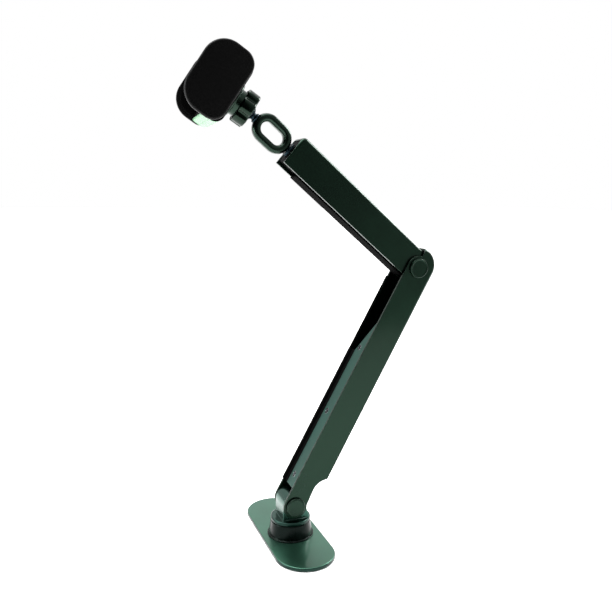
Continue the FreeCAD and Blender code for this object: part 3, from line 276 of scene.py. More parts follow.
# ---- drawing and finishing
def circleThrough(a, b, c):
    ax, ay, bx, by, cx, cy = a[0], a[1], b[0], b[1], c[0], c[1]
    d = 2 * (ax * (by - cy) + bx * (cy - ay) + cx * (ay - by))
    a2, b2, c2 = ax * ax + ay * ay, bx * bx + by * by, cx * cx + cy * cy
    ux = (a2 * (by - cy) + b2 * (cy - ay) + c2 * (ay - by)) / d
    uy = (a2 * (cx - bx) + b2 * (ax - cx) + c2 * (bx - ax)) / d
    return ux, uy


def cornerBow(radius):
    # how far the middle of a quarter round lies in from each of its square corner's sides
    return radius * (1 - math.sqrt(0.5))


planes = {  # how a drawn pair of numbers lies in space, and the way a positive turn goes round
    "xz": (lambda a, b: Vector((a, 0, b)), Vector((0, -1, 0))),
    "xy": (lambda a, b: Vector((a, b, 0)), Vector((0, 0, 1))),
    "yz": (lambda a, b: Vector((0, a, b)), Vector((1, 0, 0))),
}


def drawOutline(bm, plane, start, moves, fineness=8):
    # a pen: ("to", a, b) draws a line, ("arc", via a, via b, end a, end b) draws a round
    lay, axis = planes[plane]
    tip = bm.verts.new(lay(*start))
    at = start
    for move in moves:
        if move[0] == "to":
            tip = bmesh.ops.extrude_vert_indiv(bm, verts=[tip])["verts"][0]
            at = (move[1], move[2])
        else:
            via, end = (move[1], move[2]), (move[3], move[4])
            centre = circleThrough(at, via, end)
            angles = [math.atan2(p[1] - centre[1], p[0] - centre[0]) for p in (at, via, end)]
            sweep = (angles[2] - angles[0]) % (2 * math.pi)
            if (angles[1] - angles[0]) % (2 * math.pi) > sweep:
                sweep -= 2 * math.pi
            steps = max(3, round(abs(math.degrees(sweep)) / fineness))
            result = bmesh.ops.spin(bm, geom=[tip], cent=lay(*centre), axis=axis, angle=sweep, steps=steps)
            tip = [g for g in result["geom_last"] if isinstance(g, bmesh.types.BMVert)][0]
            at = end
        tip.co = lay(*at)
    bmesh.ops.remove_doubles(bm, verts=bm.verts, dist=1e-3)
    bmesh.ops.contextual_create(bm, geom=bm.edges[:])


def pull(bm, offset):
    # extrudes the drawn face into a solid
    grown = bmesh.ops.extrude_face_region(bm, geom=bm.faces[:])["geom"]
    bmesh.ops.translate(bm, vec=offset, verts=[g for g in grown if isinstance(g, bmesh.types.BMVert)])
    bmesh.ops.recalc_face_normals(bm, faces=bm.faces)


def roundEdges(bm, radius, segments, test, clamped=True):
    edges = [e for e in bm.edges if len(e.link_faces) == 2 and e.calc_face_angle() > rimAngle
             and test((e.verts[0].co + e.verts[1].co) / 2, e)]
    if edges:
        bmesh.ops.bevel(bm, geom=edges, offset=radius, offset_type="OFFSET", segments=segments, profile=0.5,
                        affect="EDGES", clamp_overlap=clamped, material=-1)


def joinMesh(bm, other):
    # adds a second shape to the first and frees it
    mesh = bpy.data.meshes.new("joined")
    other.to_mesh(mesh)
    other.free()
    bm.from_mesh(mesh)
    bpy.data.meshes.remove(mesh)


def makeObject(bm, name, material):
    mesh = bpy.data.meshes.new(name)
    bm.to_mesh(mesh)
    bm.free()
    made = bpy.data.objects.new(name, mesh)
    bpy.context.scene.collection.objects.link(made)
    mesh.materials.append(material)
    return made


def finishPiece(bm, name, place, material, body, replaced, rounding=0.0, wall=0.0, closed=True,
                second=None):
    if closed:
        bmesh.ops.remove_doubles(bm, verts=bm.verts, dist=1e-4)
        bmesh.ops.recalc_face_normals(bm, faces=bm.faces)
    bm.transform(place)
    for face in bm.faces:
        face.smooth = True
    if not rounding:
        for edge in bm.edges:
            if len(edge.link_faces) == 2 and edge.calc_face_angle() > rimAngle:
                edge.smooth = False
    piece = makeObject(bm, name, material)
    if second:
        piece.data.materials.append(second)
    if wall:
        skin = piece.modifiers.new("wall", "SOLIDIFY")
        skin.thickness = wall * mm
        skin.offset = -1
        skin.use_even_offset = True
    if rounding:
        edge = piece.modifiers.new("rounded edges", "BEVEL")
        edge.width = rounding * mm
        edge.segments = 3
        edge.limit_method = "ANGLE"
        edge.angle_limit = rimAngle
        flat = piece.modifiers.new("flat faces", "WEIGHTED_NORMAL")  # keeps broad flats free of shading
        flat.keep_sharp = True
    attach(piece, body)
    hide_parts(*replaced)
    print("made", name)


def lathe(bm, points, axis, steps=96):
    # turns a profile of (station, radius) pairs round X or Z
    def lay(p):
        return Vector((p[0], 0, p[1])) if axis == "x" else Vector((p[1], 0, p[0]))
    verts = [bm.verts.new(lay(p)) for p in points]
    edges = [bm.edges.new(pair) for pair in zip(verts, verts[1:])]
    turn = Vector((1, 0, 0)) if axis == "x" else Vector((0, 0, 1))
    bmesh.ops.spin(bm, geom=verts + edges, cent=(0, 0, 0), axis=turn, angle=2 * math.pi, steps=steps,
                   use_merge=True)
    bmesh.ops.remove_doubles(bm, verts=bm.verts, dist=1e-3)


# ---- base plate and pad
base = {"width": 44.0, "length": 114.0, "offset": 4.0, "bottom": 0.6, "top": 3.0, "topRound": 0.7,
        "padInset": 1.0}


def stadiumSlab(width, length, low, high):
    bm = bmesh.new()
    r = width / 2
    s = length / 2 - r
    y = base["offset"]
    drawOutline(bm, "xy", (r, y - s),
                [("to", r, y + s), ("arc", 0, y + s + r, -r, y + s), ("to", -r, y - s),
                 ("arc", 0, y - s - r, r, y - s)], fineness=4)
    bmesh.ops.translate(bm, vec=(0, 0, low), verts=bm.verts)
    pull(bm, (0, 0, high - low))
    return bm


plate = stadiumSlab(base["width"], base["length"], base["bottom"], base["top"])
roundEdges(plate, base["topRound"], 5, lambda p, e: abs(p.z - base["top"]) < 1e-4)
# Side faces take the darker copy of the anodised green: painted shade on the plate's rim.
for face in plate.faces:
    if abs(face.normal.z) < 0.75:
        face.material_index = 1
finishPiece(plate, "base_plate_shape", worldPlace, baseMetal, "base", ["base_plate"],
            rounding=0.15, second=sideShadeMetal)
pad = stadiumSlab(base["width"] - 2 * base["padInset"], base["length"] - 2 * base["padInset"], 0,
                  base["bottom"])
finishPiece(pad, "base_pad_shape", worldPlace, blackRubber, "base", ["base_pad"],
            rounding=0.12)

# ---- hub drum
hub = {"foot": 3.0, "top": 14.6, "footRadius": 16.6, "topRadius": 15.0, "lipRadius": 17.4, "lipHeight": 0.9,
       "bore": 6.05, "chamber": 9.6, "roof": 11.2, "waist": 0.1, "chamfer": 0.5}
drum = bmesh.new()
lathe(drum, [(hub["foot"], hub["chamber"]), (hub["foot"], hub["lipRadius"]),
             (hub["foot"] + hub["lipHeight"], hub["lipRadius"]),
             (hub["foot"] + hub["lipHeight"], hub["footRadius"] - hub["waist"]),
             (hub["top"] - hub["chamfer"], hub["topRadius"]), (hub["top"], hub["topRadius"] - hub["chamfer"]),
             (hub["top"], hub["bore"]), (hub["roof"], hub["bore"]), (hub["roof"], hub["chamber"]),
             (hub["foot"], hub["chamber"])], "z")
finishPiece(drum, "hub_drum", worldPlace, hubMetal, "base", ["hub_housing"], rounding=0.22)

# ---- turntable and tongue
knuckle = {"bottom": 15.0, "top": 17.4, "radius": 15.0, "journal": 6.0, "journalFoot": 11.2,
           "barrel": 8.8, "half": 8.9, "pivot": 28.3, "front": 8.8, "back": 12.2, "shoulder": 4.6,
           "sink": 1.2, "rise": 1.2, "slope": 1.6, "corner": 0.9, "chamfer": 0.5}


def makeKnuckle():
    k = knuckle
    bm = bmesh.new()
    foot = k["top"] - k["sink"]
    drawOutline(bm, "xz", (-k["front"], foot),
                [("to", k["back"], foot), ("to", k["back"], k["top"] + k["rise"]),
                 ("to", k["back"] - k["slope"], k["top"] + k["shoulder"]), ("to", k["barrel"], k["pivot"]),
                 ("arc", 0, k["pivot"] + k["barrel"], -k["barrel"], k["pivot"]),
                 ("to", -k["front"], foot)], fineness=5)
    bmesh.ops.translate(bm, vec=(0, -k["half"], 0), verts=bm.verts)
    pull(bm, (0, 2 * k["half"], 0))
    roundEdges(bm, k["corner"], 3,
               lambda p, e: abs(p.x - (k["back"] - k["slope"])) < 0.01 or abs(p.x - k["back"]) < 0.01)
    table = bmesh.new()
    lathe(table, [(k["journalFoot"], 0), (k["journalFoot"], k["journal"]), (k["bottom"], k["journal"]),
                  (k["bottom"], k["radius"]), (k["top"] - k["chamfer"], k["radius"]),
                  (k["top"], k["radius"] - k["chamfer"]), (k["top"], 0)], "z")
    # The turntable's side faces take the darker copy of the anodised green: painted shade on its rim.
    for face in table.faces:
        if abs(face.normal.z) < 0.9:
            face.material_index = 1
    joinMesh(bm, table)
    finishPiece(bm, "swivel_knuckle_shape", worldPlace, knuckleMetal, "turntable",
                ["swivel_knuckle"], rounding=0.3, second=sideShadeMetal)


makeKnuckle()

# ---- lower arm, bent from one sheet
lower = {"length": 200.0, "half": 11.0, "wall": 1.6, "front": -9.1, "back": 14.1, "corner": 2.5,
         "webStart": 28.5, "neck": (16.5, 7.0), "heel": (24.1, 9.1), "foot": 9.1, "hoodX": 201.6, "lip": -1.2,
         "ankle": 60.0}


def makeLowerArm():
    a = lower
    foot = a["foot"]
    ankle = (foot * math.cos(math.radians(a["ankle"])), foot * math.sin(math.radians(a["ankle"])))
    lipIn = a["length"] + math.sqrt(foot ** 2 - a["lip"] ** 2)
    lipOut = a["hoodX"] + math.sqrt(a["back"] ** 2 - a["lip"] ** 2)
    half = math.sqrt(0.5)
    bm = bmesh.new()
    drawOutline(bm, "xz", (0, a["front"]),
                [("to", a["length"], a["front"]),
                 ("arc", a["length"] + foot * half, -foot * half, lipIn, a["lip"]),
                 ("to", lipOut, a["lip"]),
                 ("arc", a["hoodX"] + a["back"] * half, a["back"] * half, a["hoodX"], a["back"]),
                 ("to", a["webStart"], a["back"]),
                 ("arc", a["heel"][0], a["heel"][1], a["neck"][0], a["neck"][1]),
                 ("to", ankle[0], ankle[1]),
                 ("arc", -foot, 0, 0, a["front"])], fineness=5)
    bmesh.ops.translate(bm, vec=(0, -a["half"], 0), verts=bm.verts)
    pull(bm, (0, 2 * a["half"], 0))

    def onBack(p, e):
        reach = math.hypot(p.x - a["hoodX"], p.z)
        onHood = p.x > a["hoodX"] and p.z > a["lip"] and reach > a["back"] - 0.3
        onWeb = a["webStart"] < p.x < a["hoodX"] and abs(p.z - a["back"]) < 0.01
        return abs(abs(p.y) - a["half"]) < 0.01 and (onHood or onWeb)
    roundEdges(bm, a["corner"], 5, onBack, clamped=False)
    gone = [f for f in bm.faces if abs(f.normal.y) < 0.5
            and (f.calc_center_median().x < a["webStart"] - 0.1
                 or f.calc_center_median().z < a["lip"] + 0.01)]
    bmesh.ops.delete(bm, geom=gone, context="FACES")
    finishPiece(bm, "lower_arm_shape", lowerPlace, armMetal, "lower_arm", ["lower_arm"],
                rounding=0.3, wall=a["wall"], closed=False)


makeLowerArm()

# ---- upper arm, bent from one sheet and cut square
upper = {"length": 129.6, "half": 8.9, "wall": 1.5, "bottom": -10.7, "top": 12.7, "corner": 2.4,
         "webStart": 4.0, "endRound": 3.4}


def makeUpperArm():
    a = upper
    r = -a["bottom"]
    e = a["endRound"]
    bend = cornerBow(e)
    bm = bmesh.new()
    drawOutline(bm, "xz", (0, a["bottom"]),
                [("to", a["length"], a["bottom"]), ("to", a["length"], a["top"] - e),
                 ("arc", a["length"] - bend, a["top"] - bend, a["length"] - e, a["top"]),
                 ("to", a["webStart"], a["top"]), ("to", 0, r), ("arc", -r, 0, 0, a["bottom"])], fineness=6)
    bmesh.ops.translate(bm, vec=(0, -a["half"], 0), verts=bm.verts)
    pull(bm, (0, 2 * a["half"], 0))

    def onTop(p, edge):
        return abs(abs(p.y) - a["half"]) < 0.01 and p.x > a["webStart"] and p.z > a["top"] - e + 0.01
    roundEdges(bm, a["corner"], 5, onTop, clamped=False)
    gone = [f for f in bm.faces if abs(f.normal.y) < 0.5 and
            (f.calc_center_median().x < a["webStart"] or f.calc_center_median().z < a["bottom"] + 0.01
             or (f.normal.x > 0.9 and f.calc_center_median().z < a["top"] - e + 0.01))]
    bmesh.ops.delete(bm, geom=gone, context="FACES")
    finishPiece(bm, "upper_arm_shape", upperPlace, armMetal, "upper_arm", ["upper_arm"],
                rounding=0.3, wall=a["wall"], closed=False)


makeUpperArm()

# ---- pivot caps: pressed cups with a turned rim
cap = {"radius": 7.2, "height": 2.0, "wall": 0.6, "rim": 0.55, "dish": 0.18, "edge": 0.35, "dishEdge": 0.6}


def makeCap(name, place, side):
    c = cap
    seat = side * lower["half"]
    bm = bmesh.new()
    lathe(bm, [(0, c["radius"] - c["wall"]), (0, c["radius"]), (c["height"] - c["edge"], c["radius"]),
               (c["height"], c["radius"] - c["edge"]), (c["height"], c["radius"] - c["edge"] - c["rim"]),
               (c["height"] - c["dish"], c["radius"] - c["dishEdge"] - c["rim"]),
               (c["height"] - c["dish"], 0)], "x", 72)
    roll = Matrix.Rotation(side * math.pi / 2, 4, "Z")
    bmesh.ops.transform(bm, matrix=Matrix.Translation((0, seat, 0)) @ roll, verts=bm.verts)
    finishPiece(bm, name + "_shape", place, armMetal, "lower_arm", [name], rounding=0.12)


for capName, capPlace in (("lower", lowerPlace), ("elbow", elbowPlace)):
    makeCap(capName + "_cap_near", capPlace, 1)
    makeCap(capName + "_cap_far", capPlace, -1)

# ---- rubber cable seal and cable lip: black pieces that also paint the shade inside the arms' channels
# Sizes of the black seal, which also paints the shade in the lower channel's far half.
seal = {"start": 11.5, "end": 124.0, "trimEnd": 186.0, "far": -9.4, "outer": -11.0, "edge": -9.1, "lip": 0.8,
        "face": -7.8, "back": -6.6, "thick": 1.4, "step": -4.7, "under": 3.0, "slopeStart": 1.2,
        "slopeEnd": 0.6}


# A rubber seal whose black also stands in for the shade in the lower channel's far half and over the far
# flange's edge: painted shade.
def makeSealAndShade():
    s = seal
    bm = bmesh.new()
    drawOutline(bm, "yz", (s["under"], s["back"]),
                [("to", s["step"], s["back"]), ("to", s["step"], s["face"]),
                 ("to", s["far"] + s["slopeStart"], s["face"]),
                 ("to", s["far"] + s["slopeEnd"], s["edge"] - s["lip"]),
                 ("to", s["outer"], s["edge"] - s["lip"]),
                 ("to", s["outer"], s["edge"]), ("to", s["far"], s["edge"]),
                 ("to", s["far"], s["back"] + s["thick"]), ("to", s["under"], s["back"] + s["thick"]),
                 ("to", s["under"], s["back"])])
    bmesh.ops.translate(bm, vec=(s["start"], 0, 0), verts=bm.verts)
    pull(bm, (s["end"] - s["start"], 0, 0))
    trim = bmesh.new()
    drawOutline(trim, "yz", (s["outer"], s["edge"] - s["lip"]),
                [("to", s["far"], s["edge"] - s["lip"]), ("to", s["far"], s["edge"]),
                 ("to", s["outer"], s["edge"]), ("to", s["outer"], s["edge"] - s["lip"])])
    bmesh.ops.translate(trim, vec=(s["end"], 0, 0), verts=trim.verts)
    pull(trim, (s["trimEnd"] - s["end"], 0, 0))
    joinMesh(bm, trim)
    finishPiece(bm, "cable_seal_and_shade", lowerPlace, blackRubber, "lower_arm", ["cable_seal"],
                rounding=0.2)


makeSealAndShade()

# A black rubber strip across the open underside of the upper arm: painted shade standing in for the dark
# inside of the channel.
lipAndShade = {"start": 4.0, "end": 115.0, "outer": -8.9, "inner": -7.4, "edge": -10.7, "thick": 0.8,
            "reach": 11.0, "rise": 3.0, "web": 1.0}


def makeLipAndShade():
    s = lipAndShade
    far = s["outer"] + s["reach"]
    web = s["inner"] + s["web"]
    bm = bmesh.new()
    drawOutline(bm, "yz", (s["outer"], s["edge"]),
                [("to", s["inner"], s["edge"]), ("to", s["inner"], s["edge"] + s["rise"]),
                 ("to", web, s["edge"] + s["rise"]), ("to", web, s["edge"] + s["thick"]),
                 ("to", far, s["edge"] + s["thick"]), ("to", far, s["edge"]),
                 ("to", web, s["edge"] - s["thick"]),
                 ("to", s["outer"], s["edge"] - s["thick"]), ("to", s["outer"], s["edge"])])
    bmesh.ops.translate(bm, vec=(s["start"], 0, 0), verts=bm.verts)
    pull(bm, (s["end"] - s["start"], 0, 0))
    finishPiece(bm, "upper_cable_lip_and_shade", upperPlace, blackRubber, "upper_arm",
                ["upper_cable_lip"], rounding=0.2)


makeLipAndShade()

# ---- ring link: a forged oval with a rounded section
ring = {"start": 131.2, "length": 30.4, "width": 21.0, "wall": 6.0, "depth": 7.4, "squareness": 0.78}


def makeRing():
    r = ring
    bow = r["width"] / 2 - r["wall"] / 2
    first = r["start"] + r["width"] / 2
    straight = r["length"] - r["width"]
    bm = bmesh.new()
    bmesh.ops.create_circle(bm, segments=28, radius=1.0)
    bmesh.ops.scale(bm, vec=(r["wall"] / 2, r["depth"] / 2, 1), verts=bm.verts)
    for vert in bm.verts:  # squares the oval section off a little, as a die does
        x, y = abs(vert.co.x / (r["wall"] / 2)), abs(vert.co.y / (r["depth"] / 2))
        vert.co.x = math.copysign(x ** r["squareness"], vert.co.x) * r["wall"] / 2
        vert.co.y = math.copysign(y ** r["squareness"], vert.co.y) * r["depth"] / 2
    bmesh.ops.rotate(bm, cent=(0, 0, 0), matrix=Matrix.Rotation(math.pi / 2, 3, "Y"), verts=bm.verts)
    bmesh.ops.translate(bm, vec=(first, 0, bow), verts=bm.verts)
    last = bm.edges[:]
    for bowX, run in ((first, straight), (first + straight, -straight)):  # half a turn, then a straight
        bent = bmesh.ops.spin(bm, geom=last, cent=(bowX, 0, 0), axis=(0, -1, 0), angle=math.pi, steps=20)
        last = [g for g in bent["geom_last"] if isinstance(g, bmesh.types.BMEdge)]
        grown = bmesh.ops.extrude_edge_only(bm, edges=last)["geom"]
        tips = [g for g in grown if isinstance(g, bmesh.types.BMVert)]
        bmesh.ops.translate(bm, vec=(run, 0, 0), verts=tips)
        last = [g for g in grown if isinstance(g, bmesh.types.BMEdge)]
    finishPiece(bm, "link_ring_shape", upperPlace, ringMetal, "link", ["link_ring"])


makeRing()

# ---- ball stud
stud = {"ball": 6.5, "neck": 2.6, "shoulder": 3.6, "sink": 0.4, "collar": 0.9, "taper": 1.5}


def makeBallStud():
    s = stud
    start = ring["start"] + ring["length"] - s["sink"]
    bm = bmesh.new()
    meet = math.asin(s["neck"] / s["ball"])
    steps = 18
    ball = [(ballX - s["ball"] * math.cos(meet + (math.pi - meet) * i / steps),
             s["ball"] * math.sin(meet + (math.pi - meet) * i / steps)) for i in range(steps)]
    lathe(bm, [(start, 0), (start, s["shoulder"]), (start + s["collar"], s["shoulder"]),
               (start + s["taper"], s["neck"])] + ball + [(ballX + s["ball"], 0)], "x", 48)
    finishPiece(bm, "ball_stud_shape", upperPlace, neckSteel, "link", ["ball_stud"], rounding=0.1)


makeBallStud()

# ---- lobed lock nut
nut = {"rear": -3.6, "front": 5.6, "radius": 12.4, "lobes": 6, "groove": 1.9, "mouth": 7.0, "thread": 9.48,
       "pinch": 3.2, "edge": 1.1, "flat": 0.35, "dish": 0.4, "dishDepth": 0.5, "boreDepth": 3.0}


def makeNut():
    n = nut
    steps = 192
    bm = bmesh.new()
    bmesh.ops.create_circle(bm, segments=steps, radius=1.0)
    for vert in bm.verts:  # broad lobes with narrow round grooves between them
        angle = math.atan2(vert.co.y, vert.co.x)
        swing = 0.5 + 0.5 * math.cos(n["lobes"] * angle)
        vert.co = vert.co.normalized() * (n["radius"] - n["groove"] * swing ** n["pinch"])
    bmesh.ops.contextual_create(bm, geom=bm.edges[:])
    pull(bm, (0, 0, n["front"] - n["rear"]))
    bmesh.ops.translate(bm, vec=(0, 0, n["rear"]), verts=bm.verts)
    roundEdges(bm, n["edge"], 4, lambda p, e: True)
    for face in sorted(bm.faces, key=lambda f: f.calc_area())[-2:]:
        front = face.calc_center_median().z > 0
        bore = n["thread"] if front else n["mouth"]
        reach = n["radius"] - n["groove"] - n["edge"] - bore
        bmesh.ops.inset_region(bm, faces=[face], thickness=reach * n["flat"], depth=0.0)
        bmesh.ops.inset_region(bm, faces=[face], thickness=reach * n["dish"], depth=-n["dishDepth"])
        centre = face.calc_center_median()
        for vert in face.verts:
            flat = Vector((vert.co.x, vert.co.y, 0)).normalized() * bore
            vert.co = Vector((flat.x, flat.y, centre.z))
        bmesh.ops.inset_region(bm, faces=[face], thickness=0.02, depth=-n["boreDepth"])
    bmesh.ops.rotate(bm, cent=(0, 0, 0), matrix=Matrix.Rotation(math.pi / 2, 3, "Y"), verts=bm.verts)
    finishPiece(bm, "lock_nut_shape", headPlace, nutMetal, "lock_nut", ["lock_nut"])


makeNut()

# ---- socket cup with its round flange
cup = {"rear": -0.4, "thread": 9.4, "flangeBack": 8.9, "flangeFront": 11.6, "flangeRadius": 12.4,
       "socket": 7.9, "chamfer": 0.7}


def makeCup():
    c = cup
    steps = 16
    low = math.asin(c["rear"] / c["socket"])
    hollow = [(c["socket"] * math.sin(low + (math.pi / 2 - low) * i / steps),
               c["socket"] * math.cos(low + (math.pi / 2 - low) * i / steps)) for i in range(steps)]
    bm = bmesh.new()
    lathe(bm, [(c["flangeFront"], 0), (c["flangeFront"], c["flangeRadius"]),
           (c["flangeBack"] + c["chamfer"], c["flangeRadius"]),
           (c["flangeBack"], c["flangeRadius"] - c["chamfer"]),
           (c["flangeBack"], c["thread"]), (c["rear"], c["thread"])] + hollow + [(c["socket"], 0)], "x")
    finishPiece(bm, "socket_cup_shape", headPlace, ringMetal, "clamp", ["socket_cup"],
                rounding=0.2)


makeCup()

# ---- clamp housing, face pad, jaws and jaw pads
clamp = {"back": 11.6, "split": 18.6, "front": 24.4, "halfY": 29.5, "halfZ": 20.5, "low": -23.5,
         "backRound": 6.4, "frontRound": 2.0, "padThick": 1.2, "padInset": 5.0, "padCorner": 3.5}


def housingHalf(face, corner):
    # a bar along Y whose two long edges at the face are rounded
    split, top, low = clamp["split"], clamp["halfZ"], clamp["low"]
    way = 1 if face > split else -1
    turn = cornerBow(corner)
    bm = bmesh.new()
    drawOutline(bm, "xz", (split, low),
                [("to", split, top), ("to", face - way * corner, top),
                 ("arc", face - way * turn, top - turn, face, top - corner), ("to", face, low + corner),
                 ("arc", face - way * turn, low + turn, face - way * corner, low), ("to", split, low)],
                fineness=7)
    bmesh.ops.translate(bm, vec=(0, -clamp["halfY"], 0), verts=bm.verts)
    pull(bm, (0, 2 * clamp["halfY"], 0))
    return bm


def facePadBlock(xFrom, xTo, y, z, c):
    # a plate across X, from -y to y and -z to z, with corners of radius c
    bm = bmesh.new()
    b = cornerBow(c)
    drawOutline(bm, "yz", (-y + c, -z),
                [("to", y - c, -z), ("arc", y - b, -z + b, y, -z + c), ("to", y, z - c),
                 ("arc", y - b, z - b, y - c, z), ("to", -y + c, z), ("arc", -y + b, z - b, -y, z - c),
                 ("to", -y, -z + c), ("arc", -y + b, -z + b, -y + c, -z)], fineness=10)
    bmesh.ops.translate(bm, vec=(xFrom, 0, 0), verts=bm.verts)
    pull(bm, (xTo - xFrom, 0, 0))
    return bm


def makeHousing():
    c = clamp
    for name, face, corner in (("clamp_back_shell", c["back"], c["backRound"]),
                               ("clamp_front_shell", c["front"], c["frontRound"])):
        bm = housingHalf(face, corner)
        # Faces looking down take the pale green look: a painted reflection of the white floor below.
        for side in bm.faces:
            if side.normal.z < -0.3:  # the lower end face and the rounds beside it
                side.material_index = 1
        finishPiece(bm, name + "_shape", headPlace, blackAbs, "clamp", [name],
                    rounding=0.12, second=paintedFloorReflection)
    bm = facePadBlock(c["front"], c["front"] + c["padThick"], c["halfY"] - c["padInset"],
                      c["halfZ"] - c["padInset"], c["padCorner"])
    finishPiece(bm, "face_pad_shape", headPlace, blackRubber, "clamp", ["face_pad"],
                rounding=0.35)


makeHousing()

jaw = {"back": 12.2, "depth": 31.2, "height": 48.4, "thick": 3.2, "frontRound": 15.0, "backRound": 9.5,
       "edge": 1.4, "innerEdge": 0.6, "gap": 0.5, "padInset": 3.0, "padThick": 1.4, "ribs": 4, "ribPitch": 3.2,
       "ribWidth": 1.6, "ribHeight": 0.5, "padFront": 26.2}


def jawOutline(bm, inset):
    j = jaw
    back, front = j["back"] + inset, j["back"] + j["depth"] - inset
    top = j["height"] / 2 - inset
    f, b = j["frontRound"] - inset, j["backRound"] - inset
    fd, bd = cornerBow(f), cornerBow(b)
    drawOutline(bm, "xz", (front - f, top),
                [("to", back + b, top), ("arc", back + bd, top - bd, back, top - b), ("to", back, -top + b),
                 ("arc", back + bd, -top + bd, back + b, -top), ("to", front - f, -top),
                 ("arc", front - fd, -top + fd, front, -top + f), ("to", front, top - f),
                 ("arc", front - fd, top - fd, front - f, top)], fineness=5)


def makeJaw(name, side, body):
    j = jaw
    inner = clamp["halfY"] + (j["gap"] if side > 0 else 0)
    bm = bmesh.new()
    jawOutline(bm, 0.0)
    bmesh.ops.translate(bm, vec=(0, side * inner, 0), verts=bm.verts)
    pull(bm, (0, side * j["thick"], 0))
    outer = side * (inner + j["thick"])
    roundEdges(bm, j["edge"], 6, lambda p, e: abs(p.y - outer) < 1e-3)
    roundEdges(bm, j["innerEdge"], 3, lambda p, e: abs(p.y - side * inner) < 1e-3)
    finishPiece(bm, name + "_shape", headPlace, blackAbs, body, [name])
    pad = bmesh.new()
    jawOutline(pad, j["padInset"])
    bmesh.ops.translate(pad, vec=(0, side * inner, 0), verts=pad.verts)
    pull(pad, (0, -side * j["padThick"], 0))
    cut = bmesh.ops.bisect_plane(pad, geom=pad.verts[:] + pad.edges[:] + pad.faces[:],
                                 plane_co=(j["padFront"], 0, 0), plane_no=(-1, 0, 0),
                                 clear_outer=True)["geom_cut"]
    bmesh.ops.contextual_create(pad, geom=[g for g in cut if isinstance(g, bmesh.types.BMEdge)])
    half = j["height"] / 2 - j["padInset"] - j["frontRound"] + j["ribWidth"]
    surface = side * (inner - j["padThick"])
    for i in range(j["ribs"]):
        x = j["padFront"] + j["ribWidth"] * 1.5 + i * j["ribPitch"]
        rib = bmesh.ops.create_cube(pad, size=1.0)["verts"]
        bmesh.ops.scale(pad, vec=(j["ribWidth"], 2 * j["ribHeight"], 2 * half), verts=rib)
        bmesh.ops.translate(pad, vec=(x, surface, 0), verts=rib)
    finishPiece(pad, name + "_pad_shape", headPlace, blackRubber, body, [name + "_pad"],
                rounding=0.2)


makeJaw("fixed_jaw", -1, "clamp")
makeJaw("sliding_jaw", 1, "sliding_jaw")

# ---- floor, light and camera
room = {"floorWidth": 14.0, "floorBack": 9.0, "floorFront": -0.7, "floorColor": "#f4f4f4", "backSky": 1.0,
        "frontSky": 0.04, "sideSky": 0.72, "skyTurn": 20.8}
floorMesh = bmesh.new()
bmesh.ops.create_grid(floorMesh, x_segments=1, y_segments=1, size=0.5)
bmesh.ops.scale(floorMesh, vec=(room["floorWidth"], room["floorBack"] - room["floorFront"], 1),
                verts=floorMesh.verts)
bmesh.ops.translate(floorMesh, vec=(0, (room["floorBack"] + room["floorFront"]) / 2, 0),
                    verts=floorMesh.verts)
paper, paperTree = newMaterial("matt white paper")
closeMaterial(paperTree, addNode(paperTree, "ShaderNodeBsdfPrincipled",
                                 {"Base Color": hexColor(room["floorColor"]), "Roughness": 0.9,
                                  "Specular IOR Level": 0.1}))
makeObject(floorMesh, "floor", paper)

world = bpy.data.worlds.new("soft white studio")
bpy.context.scene.world = world
world.use_nodes = True
sky = world.node_tree
sky.nodes.clear()
seen = addNode(sky, "ShaderNodeBackground", {"Color": (1, 1, 1, 1), "Strength": 1.0})
direction = addNode(sky, "ShaderNodeTexCoord", {}).outputs["Generated"]
backWay = (math.sin(math.radians(room["skyTurn"])), math.cos(math.radians(room["skyTurn"])), 0.0)
facing = addNode(sky, "ShaderNodeVectorMath", {"operation": "DOT_PRODUCT", 1: backWay}, {0: direction})
sides = addNode(sky, "ShaderNodeMapRange",
                {"interpolation_type": "SMOOTHSTEP", "From Min": -0.95, "From Max": -0.55,
                 "To Min": room["frontSky"], "To Max": room["sideSky"]}, {"Value": facing.outputs["Value"]})
sweep = addNode(sky, "ShaderNodeMapRange",
                {"interpolation_type": "SMOOTHSTEP", "From Min": -0.3, "From Max": 0.7, "To Min": 0.0,
                 "To Max": room["backSky"] - room["sideSky"]}, {"Value": facing.outputs["Value"]})
level = addNode(sky, "ShaderNodeMath", {"operation": "ADD"},
                {0: sides.outputs["Result"], 1: sweep.outputs["Result"]})
lit = addNode(sky, "ShaderNodeBackground", {"Color": (1, 1, 1, 1)}, {"Strength": level.outputs["Value"]})
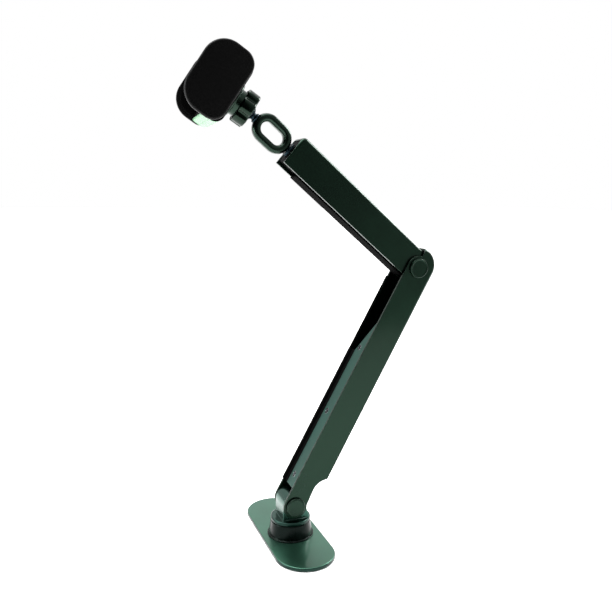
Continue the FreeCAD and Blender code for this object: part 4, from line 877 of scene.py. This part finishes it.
ray = addNode(sky, "ShaderNodeLightPath", {})
both = addNode(sky, "ShaderNodeMixShader", {}, {0: ray.outputs["Is Camera Ray"], 1: lit.outputs["Background"],
                                                2: seen.outputs["Background"]})
addNode(sky, "ShaderNodeOutputWorld", {}, {"Surface": both.outputs["Shader"]})


lamps = {
    "overhead sun": {"power": 3.3, "place": (-0.2, 0.3, 2.0), "aim": (0, 0, 0), "spread": 80.0},
    "left softbox": {"power": 12.0, "place": (-1.2, 0.1, 0.45), "aim": (0, 0, 0.12), "size": (0.35, 0.9)},
    "top softbox": {"power": 8.0, "place": (-0.35, 0.1, 1.2), "aim": (0, 0, 0.25), "size": (0.5, 0.5)},
    "right softbox": {"power": 20.0, "place": (1.12, 0.2, 0.92), "aim": (0, 0, 0.25), "size": (0.5, 0.5)},
}
for lampName, look in lamps.items():
    light = bpy.data.lights.new(lampName, "AREA" if "size" in look else "SUN")
    light.energy = look["power"]
    if "size" in look:
        light.shape = "RECTANGLE"
        light.size, light.size_y = look["size"]
    else:
        light.angle = math.radians(look["spread"])
    lamp = bpy.data.objects.new(lampName, light)
    lamp.location = look["place"]
    lamp.rotation_euler = (Vector(look["aim"]) - Vector(look["place"])).to_track_quat("-Z", "Y").to_euler()
    bpy.context.scene.collection.objects.link(lamp)

view = {"place": (-0.16064, -0.45251, 0.26006), "yaw": 20.81, "down": 9.7, "roll": 0.45, "lens": 39.80}
camera = bpy.data.cameras.new("camera")
camera.lens = view["lens"]
camera.sensor_width = 36.0
camera.clip_start = 0.01
eye = bpy.data.objects.new("camera", camera)
turn = Euler((math.radians(90 - view["down"]), 0, math.radians(-view["yaw"])), "XYZ").to_matrix()
eye.matrix_world = Matrix.Translation(view["place"]) @ (
    turn @ Matrix.Rotation(math.radians(view["roll"]), 3, "Z")).to_4x4()
bpy.context.scene.collection.objects.link(eye)
bpy.context.scene.camera = eye
bpy.context.scene.view_settings.view_transform = "Standard"
bpy.context.scene.view_settings.look = "None"
print("floor, light and camera ready")
